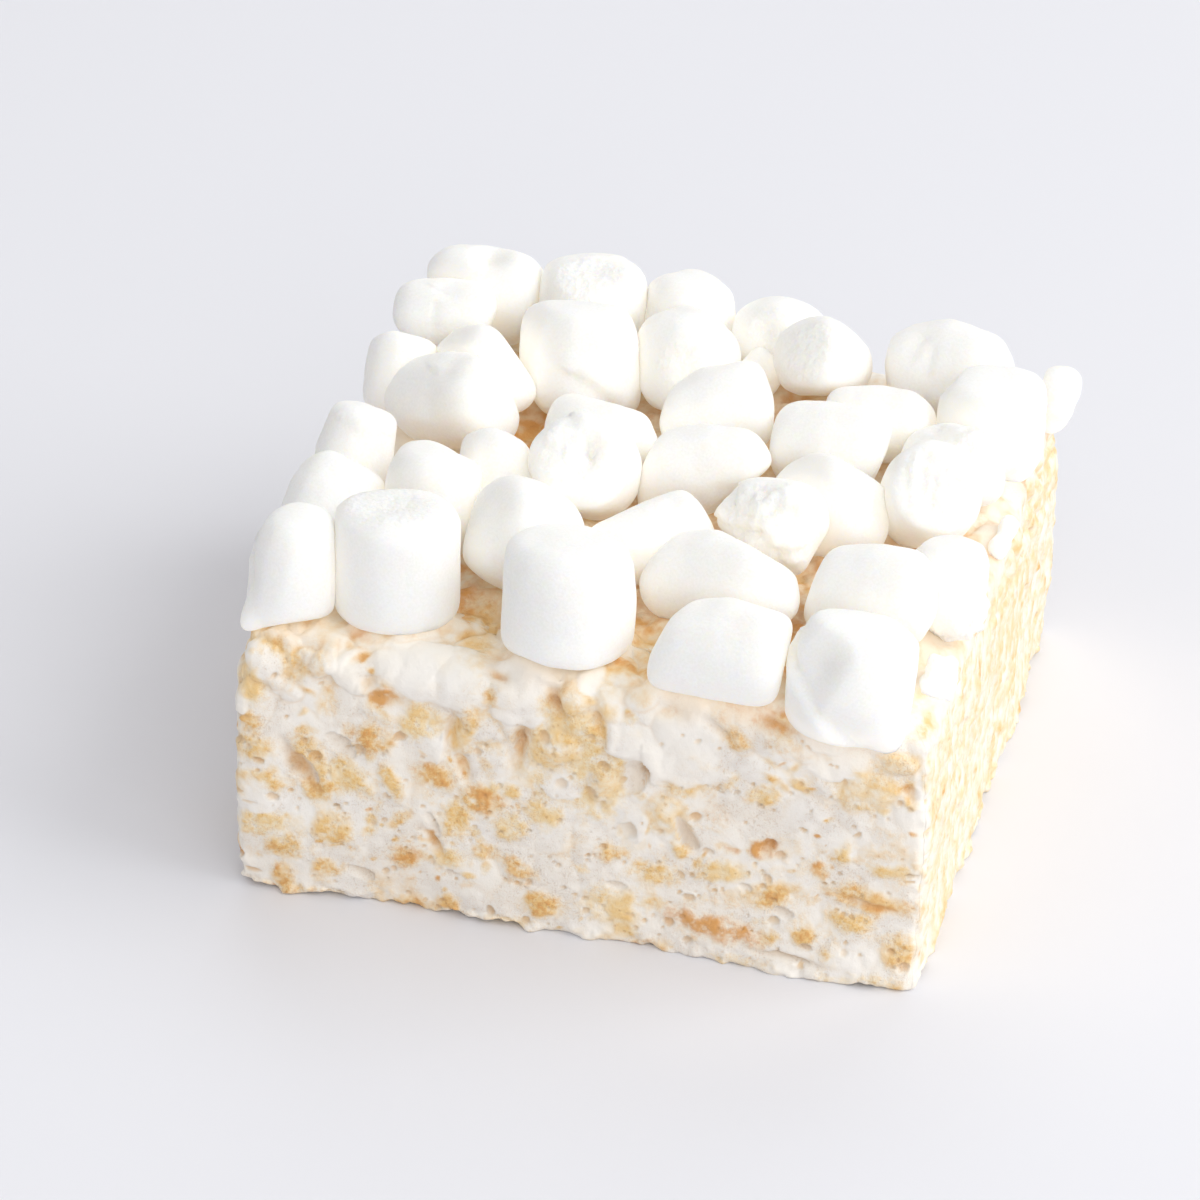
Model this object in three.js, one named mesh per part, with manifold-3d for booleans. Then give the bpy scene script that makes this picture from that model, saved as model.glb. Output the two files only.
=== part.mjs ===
// A square of rice crispy cake: crisped rice set in melted marshmallow, knife-cut on its four sides,
// with small whole marshmallows pressed onto the top and shouldering each other flat where they meet.
//
// Millimetres, +Z up. The origin is the middle of the underside. +X runs to the right along the front
// cut face, and +Y from the front cut face to the back one.

import * as THREE from "three";
import Module from "manifold-3d";
import { mergeVertices } from "three/addons/utils/BufferGeometryUtils.js";

// ---------------------------------------------------------------- driving dimensions

const CAKE = {
  width: 72.8, // X, along the front cut face
  depth: 74, // Y
  height: 30.5, // Z, from the underside to the top between the marshmallows
  topRound: 3.2, // radius of the soft top edge
  footRound: 0.4, // radius of the lower edge
  cornerPower: 60, // how square the plan is: 2 is an ellipse, and more is squarer
  waver: 0.55, // how far the cut faces stray from flat
  footWaver: 0.35, // how far the lower edge rises and falls
  flareHeight: 12, // up to here the front face leans out at its foot
};

// How far the front face stands out at its foot, as [x, out, half width of the hump].
const FOOT_HUMPS = [
  [32, 1.9, 18],
  [-9, 0.7, 5],
  [-20, -0.9, 7],
];

const GRID = {
  sideSteps: 15, // quads along each side of the plan
  wallSteps: 7, // quads up a cut face
  roundSteps: 3, // quads over the top edge
};

const MARSHMALLOW = {
  around: 12, // segments round the axis
  rings: 7, // rings between the two ends
  squareness: 0.44, // 1 is an ellipsoid, and less is a barrel with flatter ends
  lumps: 0.035, // share of the radius by which one is out of round
};

const TOUCH_GAP = 0.1; // between two marshmallows, or one and the cake
const PRESS_SCALE = 1.02; // a marshmallow that laps the edge presses a dent this much its own size

const COLOURS = { marshmallow: 0xf6f4ee, cake: 0xe6d3b4 };

// ---------------------------------------------------------------- where the marshmallows sit

// Each one is a short barrel. x, y: its middle in plan. lift: its middle above the cake's top.
// r, half: its radius and half its length. lean: degrees that its axis tips from upright, so 90 lies
// on its side. turn: degrees from +X of the way that it tips. flat: its narrow width over its wide
// one, across the axis, and roll: degrees by which that is turned. taper: how much wider the end
// that tips is. horn: a corner pulled out, as [x, y, z] whose length is how far it is pulled.
// flats: sides pressed flat, each as the way it faces, in degrees round from +X and degrees above
// level, and how far out from the middle it lies.
// lap: it hangs over the cake's edge and presses a dent into it. cut: the knife that cut the cake's
// right-hand face cut it flat as well.
const MARSHMALLOWS = {
  // front row, left to right
  m01: { x: -31.4, y: -30.6, lift: 5.4, r: 4.7, half: 6.0, lean: 8, turn: 60, taper: -0.12,
    horn: [-1.0, -0.6, -1.0], lap: true,
    flats: [[-170, 0, 4.9], [15, 0, 3.7], [-55, -55, 5.3]],
  },
  m02: { x: -21.7, y: -27.6, lift: 5.9, r: 6.4, half: 6.1, lean: 4, turn: 250, taper: -0.04,
    flats: [[105, 60, 6.3], [-90, -60, 6.8]],
  },
  m03: { x: -3.3, y: -29.7, lift: 5.9, r: 6.9, half: 6.0, lean: 8, turn: 80, taper: -0.08,
    flats: [[-170, 0, 6.1], [-110, -55, 6.8]],
  },
  m04: { x: 14.1, y: -32.8, lift: 3.9, r: 5.2, half: 7.0, lean: 86, turn: 355,
    horn: [-1.0, -0.4, -0.8], lap: true,
    flats: [[175, 25, 6.1], [160, 45, 5.7], [65, 55, 5.5], [5, -10, 5.8], [-95, -60, 4.9]],
  },
  m05: { x: 27.5, y: -33.8, lift: 3.3, r: 6.6, half: 6.3, lean: 30, turn: 290, taper: 0.02,
    horn: [1.2, -0.6, -0.8], lap: true,
    flats: [
      [105, 60, 6.9], [60, 50, 6.4], [0, -20, 6.2],
      [-105, -60, 6.3], [-115, 35, 5.7], [-20, 10, 5.9],
    ],
  },
  // second row
  m06: { x: -31.2, y: -17.0, lift: 4.8, r: 5.0, half: 5.2, lean: 60, turn: 80,
    flats: [[150, 50, 5.5], [55, 50, 5.0]],
  },
  m07: { x: -21.3, y: -14.0, lift: 5.4, r: 5.4, half: 5.8, lean: 15, turn: 100,
    flats: [[180, 25, 5.5], [60, 50, 5.4], [5, -10, 4.2]],
  },
  m08: { x: -10.4, y: -18.6, lift: 5.2, r: 6.1, half: 5.6, lean: 50, turn: 215,
    flats: [[-175, 10, 5.7], [165, 40, 6.3], [105, 60, 6.3], [20, 15, 6.0]],
  },
  m09: { x: 2.1, y: -13.6, lift: 4.4, r: 4.4, half: 6.6, lean: 78, turn: 25,
    flats: [[145, 50, 3.5], [35, 30, 5.7]],
  },
  m10: { x: 10.6, y: -20.4, lift: 4.9, r: 4.9, half: 7.9, lean: 78, turn: 345, taper: -0.12,
    horn: [1.6, -0.4, -0.6],
    flats: [[165, 35, 6.1], [135, 55, 5.6], [55, 50, 4.1], [0, -25, 7.4]],
  },
  m11: { x: 27.1, y: -19.8, lift: 4.8, r: 5.2, half: 7.4, lean: 82, turn: 355,
    flats: [[180, 15, 6.5], [170, 30, 6.4], [-5, -25, 5.9]],
  },
  m12: { x: 34.0, y: -15.0, lift: 4.8, r: 4.5, half: 6.8, lean: 60, turn: 264,
    horn: [0.8, -2.2, -1.6], lap: true, cut: true },
  // third row
  m13: { x: -31.6, y: -5.4, lift: 4.9, r: 4.5, half: 5.0, lean: 25, turn: 85,
    flats: [[180, 20, 4.4], [60, 50, 4.8], [10, -5, 3.4]],
  },
  m14: { x: -16.0, y: -5.0, lift: 4.3, r: 5.0, half: 4.8, lean: 35, turn: 90,
    flats: [[140, 55, 5.1], [65, 55, 4.1], [30, 25, 3.4]],
  },
  m15: { x: -8.0, y: -3.6, lift: 5.2, r: 6.1, half: 5.5, lean: 62, turn: 300,
    flats: [[-85, -60, 4.4], [-140, -40, 3.9], [60, 50, 5.3]],
  },
  m16: { x: 4.8, y: 1.2, lift: 4.7, r: 4.9, half: 6.9, lean: 80, turn: 10, horn: [-1.4, -0.7, -1.4],
    flats: [[175, 25, 6.1], [160, 45, 5.8], [60, 50, 5.4], [35, 30, 5.9], [-20, -40, 3.7]],
  },
  m17: { x: 13.6, y: -9.4, lift: 5.2, r: 5.0, half: 6.1, lean: 74, turn: 330,
    flats: [[170, 30, 5.2], [150, 50, 5.2], [-5, -30, 5.1], [-130, -45, 3.2]],
  },
  m18: { x: 19.2, y: -3.0, lift: 4.8, r: 5.7, half: 6.2, lean: 58, turn: 325,
    flats: [[55, 50, 4.3], [40, 35, 5.1]],
  },
  m19: { x: 28.2, y: -0.6, lift: 5.2, r: 5.7, half: 5.8, lean: 55, turn: 300,
    flats: [[30, 25, 5.1], [-55, -55, 3.9], [-155, -20, 4.4], [-105, -55, 4.5]],
  },
  // fourth row
  m20: { x: -24.6, y: 7.8, lift: 5.0, r: 5.3, half: 7.0, lean: 70, turn: 335, taper: 0.08,
    horn: [-0.8, -0.3, -0.2],
    flats: [[90, 60, 5.0], [45, 40, 5.0], [25, 20, 5.7], [-145, -35, 6.2]],
  },
  m21: { x: -7.8, y: 6.2, lift: 4.4, r: 4.3, half: 5.8, lean: 80, turn: 350,
    flats: [[75, 55, 3.1], [25, 20, 4.9]],
  },
  m22: { x: 3.0, y: 12.8, lift: 4.9, r: 4.9, half: 6.1, lean: 70, turn: 20,
    flats: [[180, 15, 5.2], [160, 40, 4.9], [115, 60, 5.1], [10, -5, 5.9]],
  },
  m23: { x: 16.6, y: 9.4, lift: 4.6, r: 4.6, half: 6.5, lean: 84, turn: 355,
    flats: [[0, -20, 4.9]],
  },
  m24: { x: 29.6, y: 9.6, lift: 4.2, r: 4.6, half: 5.2, lean: 70, turn: 350,
    flats: [[70, 55, 4.0], [15, 0, 4.9]],
  },
  // fifth row
  m25: { x: -31.8, y: 13.4, lift: 4.3, r: 3.9, half: 4.4, lean: 30, turn: 90,
    flats: [[140, 50, 4.4], [80, 55, 3.9]],
  },
  m26: { x: -22.4, y: 14.8, lift: 5.3, r: 5.3, half: 5.8, lean: 60, turn: 310,
    flats: [[85, 60, 4.6], [35, 30, 2.9]],
  },
  m27: { x: -13.4, y: 19.6, lift: 5.4, r: 7.1, half: 5.8, lean: 25, turn: 95, taper: -0.08,
    flats: [[100, 60, 5.6], [25, 20, 6.0], [-150, -25, 6.0]],
  },
  m28: { x: -2.6, y: 22.4, lift: 5.1, r: 6.2, half: 5.5, lean: 25, turn: 90,
    flats: [[175, 30, 6.0], [145, 50, 5.7], [45, 40, 5.2], [-160, -15, 5.2]],
  },
  m29: { x: 20.2, y: 16.0, lift: 4.4, r: 4.2, half: 5.9, lean: 82, turn: 355,
    flats: [[110, 60, 4.0], [45, 40, 4.8]],
  },
  m30: { x: 31.7, y: 17.6, lift: 4.9, r: 5.8, half: 5.8, lean: 20, turn: 345, lap: true,
    flats: [[100, 60, 5.8], [170, 35, 5.5], [10, 0, 6.0], [-110, -55, 4.6]],
  },
  // back rows
  m31: { x: -29.6, y: 25.2, lift: 4.7, r: 4.6, half: 5.8, lean: 84, turn: 5,
    flats: [[0, -15, 4.5], [-35, -50, 2.9], [-135, -40, 4.3]],
  },
  m32: { x: -27.0, y: 31.0, lift: 5.4, r: 5.5, half: 6.4, lean: 84, turn: 0,
    flats: [[150, 50, 6.3], [80, 55, 4.9], [35, 35, 6.3], [0, -15, 5.5]],
  },
  m33: { x: -14.8, y: 31.2, lift: 5.2, r: 5.8, half: 5.2, lean: 10, turn: 90,
    flats: [[135, 55, 5.8], [100, 60, 5.5], [50, 45, 6.0]],
  },
  m34: { x: -4.2, y: 32.4, lift: 4.8, r: 5.1, half: 5.1, lean: 12, turn: 90,
    flats: [[145, 50, 5.3], [85, 60, 5.2], [45, 40, 5.0], [15, 5, 4.6]],
  },
  m35: { x: 5.9, y: 31.2, lift: 4.3, r: 4.6, half: 4.8, lean: 70, turn: 340,
    flats: [[-170, 0, 4.9], [70, 55, 4.2]],
  },
  m36: { x: 12.0, y: 25.2, lift: 5.1, r: 5.2, half: 5.6, lean: 60, turn: 325,
    flats: [[50, 45, 4.7], [15, 0, 5.3], [0, -25, 4.6], [-70, -60, 2.4]],
  },
  m37: { x: 25.1, y: 28.0, lift: 5.2, r: 5.5, half: 6.8, lean: 84, turn: 355,
    flats: [[180, 15, 6.6], [145, 50, 5.7], [70, 55, 5.1], [30, 30, 6.6], [-160, -10, 6.4]],
  },
  m38: { x: 37.1, y: 29.3, lift: 3.6, r: 2.7, half: 3.0, lean: 25, turn: 70,
    horn: [-0.9, -0.2, -1.5], lap: true,
    flats: [[-160, -10, 1.8]],
  },
  // two torn scraps and a smear on the right-hand edge
  m39: { x: 35.2, y: -27.4, lift: 0.9, r: 2.0, half: 2.4, lean: 30, turn: 60, lap: true },
  m40: { x: 36.2, y: 2.6, lift: 0.4, r: 1.2, half: 3.0, lean: 76, turn: 80, lap: true },
  m41: { x: 5.0, y: 25.3, lift: 3.0, r: 2.2, half: 2.6, lean: 40, turn: 30 },
};

// ---------------------------------------------------------------- the cake

// A number from -1 to 1 that wanders smoothly with u and v, from three crossed waves.
function wander(u, v, phase) {
  const waves = [
    [0.21, 0.13, 0.5],
    [0.47, -0.38, 0.3],
    [0.83, 0.9, 0.2],
  ];
  return waves.reduce(
    (sum, [ku, kv, share], i) => sum + share * Math.sin(ku * u + kv * v + phase * (i + 1)),
    0,
  );
}

// A point of the plan's outline, moved in by inset: a square walk is pushed out onto a superellipse.
function planPoint(step, inset) {
  const perSide = GRID.sideSteps;
  const side = Math.floor(step / perSide) % 4;
  const t = (2 * (step % perSide)) / perSide - 1;
  const [sx, sy] = [[t, -1], [1, t], [-t, 1], [-1, -t]][side];
  const p = CAKE.cornerPower;
  const reach = Math.pow(Math.abs(sx) ** p + Math.abs(sy) ** p, 1 / p);
  return [(sx / reach) * (CAKE.width / 2 - inset), (sy / reach) * (CAKE.depth / 2 - inset)];
}

// How far a point of the front face stands out: a sum of humps along the foot, fading out upwards,
// and inwards from the face.
function flare(x, y, z) {
  const up = Math.max(0, 1 - z / CAKE.flareHeight);
  const near = Math.min(1, Math.max(0, -y / (CAKE.depth / 2) - 0.8) / 0.16);
  const out = FOOT_HUMPS.reduce(
    (sum, [at, far, half]) => sum + far * Math.exp(-(((x - at) / half) ** 2)),
    0,
  );
  return out * up * up * near;
}

// The section from the middle of the underside, up a cut face, to the middle of the top.
// Each stop is how far in from the face it lies, its height, and how much of the waver it takes.
function sectionStops() {
  const { height, topRound, footRound } = CAKE;
  const stops = [
    { inset: 24, z: 0, waver: 0 },
    { inset: 10, z: 0, waver: 0 },
    { inset: 3, z: 0, waver: 0, lower: true },
    { inset: footRound, z: 0.15, waver: 1, lower: true },
    { inset: 0, z: footRound + 0.15, waver: 1, lower: true },
  ];
  const wallTop = height - topRound;
  for (let i = 1; i < GRID.wallSteps; i++) {
    const z = footRound + (wallTop - footRound) * (i / GRID.wallSteps);
    stops.push({ inset: 0, z, waver: 1 });
  }
  for (let i = 0; i <= GRID.roundSteps; i++) {
    const a = (Math.PI / 2) * (i / GRID.roundSteps);
    stops.push({
      inset: topRound * (1 - Math.cos(a)),
      z: wallTop + topRound * Math.sin(a),
      waver: Math.cos(a),
    });
  }
  stops.push({ inset: 12, z: height, waver: 0 }, { inset: 24, z: height, waver: 0 });
  return stops;
}

function cakeGeometry() {
  const around = 4 * GRID.sideSteps;
  const stops = sectionStops();
  const points = [[0, 0, 0]];
  for (const stop of stops) {
    for (let step = 0; step < around; step++) {
      const [x, y] = planPoint(step, stop.inset);
      const along = x - y;
      const out = CAKE.waver * stop.waver * wander(along, stop.z, 1.7);
      const grow = 1 + out / Math.hypot(x, y);
      const rise = stop.lower ? CAKE.footWaver * Math.max(0, wander(x + y, x - y, 4.1)) : 0;
      const lift = stop.z > 0 ? rise : 0;
      points.push([x * grow, y * grow - flare(x, y, stop.z), stop.z + lift]);
    }
  }
  points.push([0, 0, CAKE.height]);
  return closedRings(points, around, stops.length);
}

// Triangles over a first pole, rings of points one above the other, and a last pole, facing out when
// the rings run anticlockwise seen from the last pole.
function closedRings(points, around, rings) {
  const last = points.length - 1;
  const at = (ring, i) => 1 + ring * around + (i % around);
  const faces = [];
  for (let i = 0; i < around; i++) {
    faces.push(0, at(0, i + 1), at(0, i));
    for (let ring = 0; ring + 1 < rings; ring++) {
      faces.push(at(ring, i), at(ring, i + 1), at(ring + 1, i + 1));
      faces.push(at(ring, i), at(ring + 1, i + 1), at(ring + 1, i));
    }
    faces.push(at(rings - 1, i), at(rings - 1, i + 1), last);
  }
  const geometry = new THREE.BufferGeometry();
  geometry.setAttribute("position", new THREE.Float32BufferAttribute(points.flat(), 3));
  geometry.setIndex(faces);
  return geometry;
}

// ---------------------------------------------------------------- one marshmallow

const radians = THREE.MathUtils.degToRad;
const signedPower = (value, power) => Math.sign(value) * Math.abs(value) ** power;

// The middle of a marshmallow.
function middleOf(m) {
  return new THREE.Vector3(m.x, m.y, CAKE.height + m.lift);
}

// Points of one marshmallow before its neighbours press on it: a superellipsoid about its own axis,
// made oval, tapered and a little lumpy, then tipped over, with one corner pulled out.
function freePoints(m, index) {
  const { around, rings, squareness, lumps } = MARSHMALLOW;
  const { lean = 0, turn = 0, flat = 1, roll = 0, taper = 0, horn = [0, 0, 0] } = m;
  const tip = new THREE.Quaternion().setFromAxisAngle(
    new THREE.Vector3(-Math.sin(radians(turn)), Math.cos(radians(turn)), 0),
    radians(lean),
  );
  const spin = new THREE.Quaternion().setFromAxisAngle(new THREE.Vector3(0, 0, 1), radians(roll));
  const middle = middleOf(m);
  const pull = new THREE.Vector3(...horn);
  const pulled = pull.length();
  const pullWay = pull.clone().normalize();

  const place = (polar, azimuth) => {
    const out = Math.sin(polar) > 1e-9 ? Math.sin(polar) ** squareness : 0;
    const up = signedPower(Math.cos(polar), squareness);
    const lump =
      1 +
      lumps * Math.sin(2 * azimuth + 1.3 * index) +
      lumps * 0.7 * Math.sin(3 * azimuth + 2.1 * up + 0.7 * index);
    const radius = m.r * out * lump * (1 + taper * up);
    const point = new THREE.Vector3(
      radius * Math.cos(azimuth),
      radius * flat * Math.sin(azimuth),
      m.half * up,
    );
    point.applyQuaternion(spin).applyQuaternion(tip);
    const towards = Math.max(0, point.clone().normalize().dot(pullWay));
    point.addScaledVector(pullWay, pulled * towards ** 6);
    return point.add(middle);
  };

  const points = [place(Math.PI, 0)];
  for (let ring = 1; ring <= rings; ring++) {
    const polar = Math.PI * (1 - ring / (rings + 1));
    for (let i = 0; i < around; i++) points.push(place(polar, (2 * Math.PI * i) / around));
  }
  points.push(place(0, 0));
  return points;
}

// How far a set of points reaches from a middle along a direction.
function reachOf(points, middle, way) {
  return Math.max(...points.map((p) => p.clone().sub(middle).dot(way)));
}

// Moves the points that lie past a plane back onto it, which presses a flat into the marshmallow.
function press(points, onPlane, outward) {
  for (const p of points) {
    const past = p.clone().sub(onPlane).dot(outward);
    if (past > 0) p.addScaledVector(outward, -past);
  }
}

// Wherever two marshmallows would run into each other, both are pressed flat at a plane between
// them. It is square to the line of their middles, and parts that line as their reaches do.
function pressTogether(all) {
  const contacts = [];
  all.forEach((a, i) =>
    all.slice(i + 1).forEach((b) => {
      const way = b.middle.clone().sub(a.middle);
      const apart = way.length();
      way.normalize();
      const reachA = reachOf(a.points, a.middle, way);
      const reachB = reachOf(b.points, b.middle, way.clone().negate());
      if (reachA + reachB + TOUCH_GAP <= apart) return;
      const share = (apart * reachA) / (reachA + reachB);
      contacts.push({ a, b, way, share });
    }),
  );
  for (const { a, b, way, share } of contacts) {
    const back = way.clone().negate();
    press(a.points, a.middle.clone().addScaledVector(way, share - TOUCH_GAP / 2), way);
    press(b.points, a.middle.clone().addScaledVector(way, share + TOUCH_GAP / 2), back);
  }
}

// The way that faces so many degrees round from +X and so many above level.
function facing(round, above) {
  const level = Math.cos(radians(above));
  return new THREE.Vector3(
    level * Math.cos(radians(round)),
    level * Math.sin(radians(round)),
    Math.sin(radians(above)),
  );
}

function marshmallows() {
  const all = Object.entries(MARSHMALLOWS).map(([name, m], index) => ({
    name,
    m,
    middle: middleOf(m),
    points: freePoints(m, index),
  }));
  for (const { m, middle, points } of all) {
    for (const [round, above, reach] of m.flats ?? []) {
      const way = facing(round, above);
      press(points, middle.clone().addScaledVector(way, reach), way);
    }
  }
  pressTogether(all);
  const cakeTop = new THREE.Vector3(0, 0, CAKE.height + TOUCH_GAP);
  const down = new THREE.Vector3(0, 0, -1);
  const knife = new THREE.Vector3(CAKE.width / 2 + 0.4, 0, 0);
  const right = new THREE.Vector3(1, 0, 0);
  for (const one of all) {
    if (!one.m.lap) press(one.points, cakeTop, down);
    if (one.m.cut) press(one.points, knife, right);
  }
  return all;
}

// ---------------------------------------------------------------- cutting with manifold-3d

const wasm = await Module();
wasm.setup();

function toSolid(geometry) {
  const bare = geometry.clone();
  bare.deleteAttribute("normal");
  bare.deleteAttribute("uv");
  const merged = mergeVertices(bare, 1e-4);
  return new wasm.Manifold(
    new wasm.Mesh({
      numProp: 3,
      vertProperties: new Float32Array(merged.attributes.position.array),
      triVerts: new Uint32Array(merged.index.array),
    }),
  );
}

function toGeometry(solid) {
  const { vertProperties, triVerts } = solid.getMesh();
  const geometry = new THREE.BufferGeometry();
  geometry.setAttribute("position", new THREE.Float32BufferAttribute(vertProperties, 3));
  geometry.setIndex(new THREE.Uint32BufferAttribute(triVerts, 1));
  return geometry;
}

// ---------------------------------------------------------------- the finished object

const finish = (color, roughness) =>
  new THREE.MeshStandardMaterial({ color, roughness, metalness: 0, flatShading: true });

function build() {
  const group = new THREE.Group();
  let cake = toSolid(cakeGeometry());
  for (const { name, m, middle, points } of marshmallows()) {
    const local = points.map((p) => p.clone().sub(middle).toArray());
    const geometry = closedRings(local, MARSHMALLOW.around, MARSHMALLOW.rings);
    const mesh = new THREE.Mesh(geometry, finish(COLOURS.marshmallow, 0.85));
    mesh.name = `marshmallow_${name.slice(1)}`;
    mesh.position.copy(middle);
    group.add(mesh);
    if (m.lap) {
      const dent = geometry.clone().scale(PRESS_SCALE, PRESS_SCALE, PRESS_SCALE);
      dent.translate(middle.x, middle.y, middle.z);
      cake = cake.subtract(toSolid(dent));
    }
  }
  const block = new THREE.Mesh(toGeometry(cake), finish(COLOURS.cake, 0.7));
  block.name = "cake";
  group.add(block);
  return group;
}

export default build();
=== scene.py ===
import bpy
import numpy as np
from mathutils import Matrix, Vector


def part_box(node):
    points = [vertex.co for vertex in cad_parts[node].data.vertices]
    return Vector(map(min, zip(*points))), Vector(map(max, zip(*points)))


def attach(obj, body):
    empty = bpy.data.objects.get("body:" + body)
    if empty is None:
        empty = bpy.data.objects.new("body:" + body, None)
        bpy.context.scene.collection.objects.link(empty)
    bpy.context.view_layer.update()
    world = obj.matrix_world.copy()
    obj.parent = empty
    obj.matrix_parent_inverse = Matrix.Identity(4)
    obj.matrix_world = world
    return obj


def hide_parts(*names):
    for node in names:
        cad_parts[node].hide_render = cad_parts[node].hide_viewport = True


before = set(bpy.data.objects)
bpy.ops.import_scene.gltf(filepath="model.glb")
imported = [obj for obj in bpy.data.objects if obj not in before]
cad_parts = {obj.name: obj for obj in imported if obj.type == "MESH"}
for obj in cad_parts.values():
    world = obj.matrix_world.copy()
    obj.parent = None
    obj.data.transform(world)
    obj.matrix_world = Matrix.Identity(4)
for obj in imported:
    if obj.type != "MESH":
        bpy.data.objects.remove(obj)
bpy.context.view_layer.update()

# A square of rice crispy cake under small whole marshmallows. Shapes are worked out in millimetres
# in the row's frame and put into the meshes in metres.

MM = 0.001
UP = np.array([0.0, 0.0, 1.0])

# ---------------------------------------------------------------- sizes


def node_box(node):
    """The lowest and highest corners of a CAD node, in millimetres."""
    return (np.array(corner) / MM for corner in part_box(node))


# The faces lie this far inside the cake's box, so that their relief fills it.
SIDE_RELIEF, BACK_RELIEF, TOP_RELIEF = 0.4, 0.5, 0.1
CAKE_LOW, CAKE_HIGH = node_box("cake")
HALF_WIDTH = min(CAKE_HIGH[0], -CAKE_LOW[0]) - SIDE_RELIEF
HALF_DEPTH = CAKE_HIGH[1] - BACK_RELIEF
TOP = CAKE_HIGH[2] - TOP_RELIEF
MIDDLE = np.array([0, 0, TOP / 2])

# The four cut faces, anticlockwise. By side: how far each runs to either side of its middle, how
# far out it lies, and the ways along it to the right and out of it.
FRONT, RIGHT, BACK, LEFT = range(4)
HALF_SPAN = [HALF_WIDTH, HALF_DEPTH, HALF_WIDTH, HALF_DEPTH]
FACE_OUT = [HALF_DEPTH, HALF_WIDTH, HALF_DEPTH, HALF_WIDTH]
RIGHTWARD = np.array([[1, 0, 0], [0, 1, 0], [-1, 0, 0], [0, -1, 0]], float)
OUTWARD = np.array([[0, -1, 0], [1, 0, 0], [0, 1, 0], [-1, 0, 0]], float)

# The radii of the cake's top edge and foot, and how square its plan's corners are.
EDGE_ROUND = 3.2
FOOT_ROUND = 0.5
CORNER_POWER = 44

# How far a cut face runs inwards over the top and under the foot, and how far the top laps it.
TOP_INSET = 9.0
FOOT_INSET = 7
TOP_LAP = 0.6

# Between the rows of all four cut faces, which share their corner points, and where they run over
# the top; between the columns of the front and of the other three; and between the top's points.
ROW_STEP = 0.175
OVER_STEP = 0.245
FRONT_STEP = 0.175
SIDE_STEP = 0.24
TOP_STEP = 0.3
UNDERSIDE_POINTS = 60

# Where the front face leans out at its foot: the place along it, how far out, and the half width.
FOOT_HUMPS = [(32, 1.9, 18), (-9, 0.7, 5), (-20, -0.9, 7)]

# How many of each are scattered over the cake.
GRAIN_COUNT = 900
SPECK_COUNT = 520
LEFT_GRAIN_COUNT = 52
LUMP_COUNT = 420
BUBBLE_COUNT = 1500
STREAK_SPECK_COUNT = 90

# How far a corner's fit reaches, how far a face's points are warped, and over what distance the
# painted glow, which stands for light that a marshmallow passes on, fades.
CORNER_REACH = 1.5
WARP_REACH = 0.6
CLOSE_REACH = 1.8

MARSHMALLOW_NODES = [name for name in sorted(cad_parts) if name.startswith("marshmallow")]

# ---------------------------------------------------------------- numbers shared by the shapes


def ease(low, high, value):
    """0 below low, 1 above high, and a smooth step between them; high may be the smaller."""
    share = np.clip((value - low) / (high - low), 0, 1)
    return share * share * (3 - 2 * share)


def lattice(ix, iy, iz, seed):
    """A number from -1 to 1 for each lattice point, mixed from its whole numbers and the seed."""
    mixed = ix * np.uint32(73856093) ^ iy * np.uint32(19349663) ^ iz * np.uint32(83492791)
    mixed = mixed + np.uint32(seed * 2246822519 & 0xFFFFFFFF)
    mixed = (mixed ^ (mixed >> np.uint32(15))) * np.uint32(2246822519)
    mixed = (mixed ^ (mixed >> np.uint32(13))) * np.uint32(3266489917)
    mixed = mixed ^ (mixed >> np.uint32(16))
    return (mixed & np.uint32(0xFFFF)).astype(np.float64) / 32767.5 - 1


def cloud(points, size, seed):
    """Smooth noise from -1 to 1: random values on a lattice of that spacing, eased together."""
    scaled = points / size
    cell = np.floor(scaled)
    part = scaled - cell
    part = part * part * (3 - 2 * part)
    whole = cell.astype(np.int64).astype(np.uint32)
    total = np.zeros(points.shape[:-1])
    for corner in range(8):
        step = np.array([corner & 1, corner >> 1 & 1, corner >> 2 & 1])
        share = np.where(step, part, 1 - part).prod(-1)
        at = whole + step.astype(np.uint32)
        total += share * lattice(at[..., 0], at[..., 1], at[..., 2], seed)
    return total


def drift(points, size, seed):
    """Three clouds side by side, as a wandering direction for each point."""
    return np.stack([cloud(points, size, seed + i) for i in range(3)], -1)


def seams(points, size, seed):
    """0 where two cells of a scattered pattern meet, and up to about 1 in a cell's middle.

    One spot is scattered to each cube of that size; the seam is the distance to the second nearest
    spot less the distance to the nearest.
    """
    scaled = points / size
    cell = np.floor(scaled)
    near = np.full(points.shape[:-1], 9.0)
    second = near.copy()
    for corner in range(27):
        at = cell + np.array([corner % 3, corner // 3 % 3, corner // 9]) - 1
        whole = at.astype(np.int64).astype(np.uint32)
        lots = [lattice(whole[..., 0], whole[..., 1], whole[..., 2], seed + i) for i in range(3)]
        far = np.linalg.norm(scaled - at - 0.5 - 0.42 * np.stack(lots, -1), axis=-1)
        second = np.minimum(second, np.maximum(near, far))
        near = np.minimum(near, far)
    return second - near


def soft_max(first, second, blend):
    """The larger of two heights, with the corner between them rounded over that width."""
    gap = np.clip(1 - np.abs(first - second) / blend, 0, 1)
    return np.maximum(first, second) + gap * gap * blend / 4


def way_to(round_degrees, above_degrees):
    """The way that faces so many degrees round from +X and so many above level."""
    turn, above = np.radians([round_degrees, above_degrees])
    return np.array([np.cos(above) * np.cos(turn), np.cos(above) * np.sin(turn), np.sin(above)])


def random_turn(dice):
    """A random turn in space, as three perpendicular directions in columns."""
    first = dice.normal(size=3)
    first /= np.linalg.norm(first)
    second = np.cross(first, dice.normal(size=3))
    second /= np.linalg.norm(second)
    return np.stack([first, second, np.cross(first, second)], -1)


# ---------------------------------------------------------------- meshes


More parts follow.
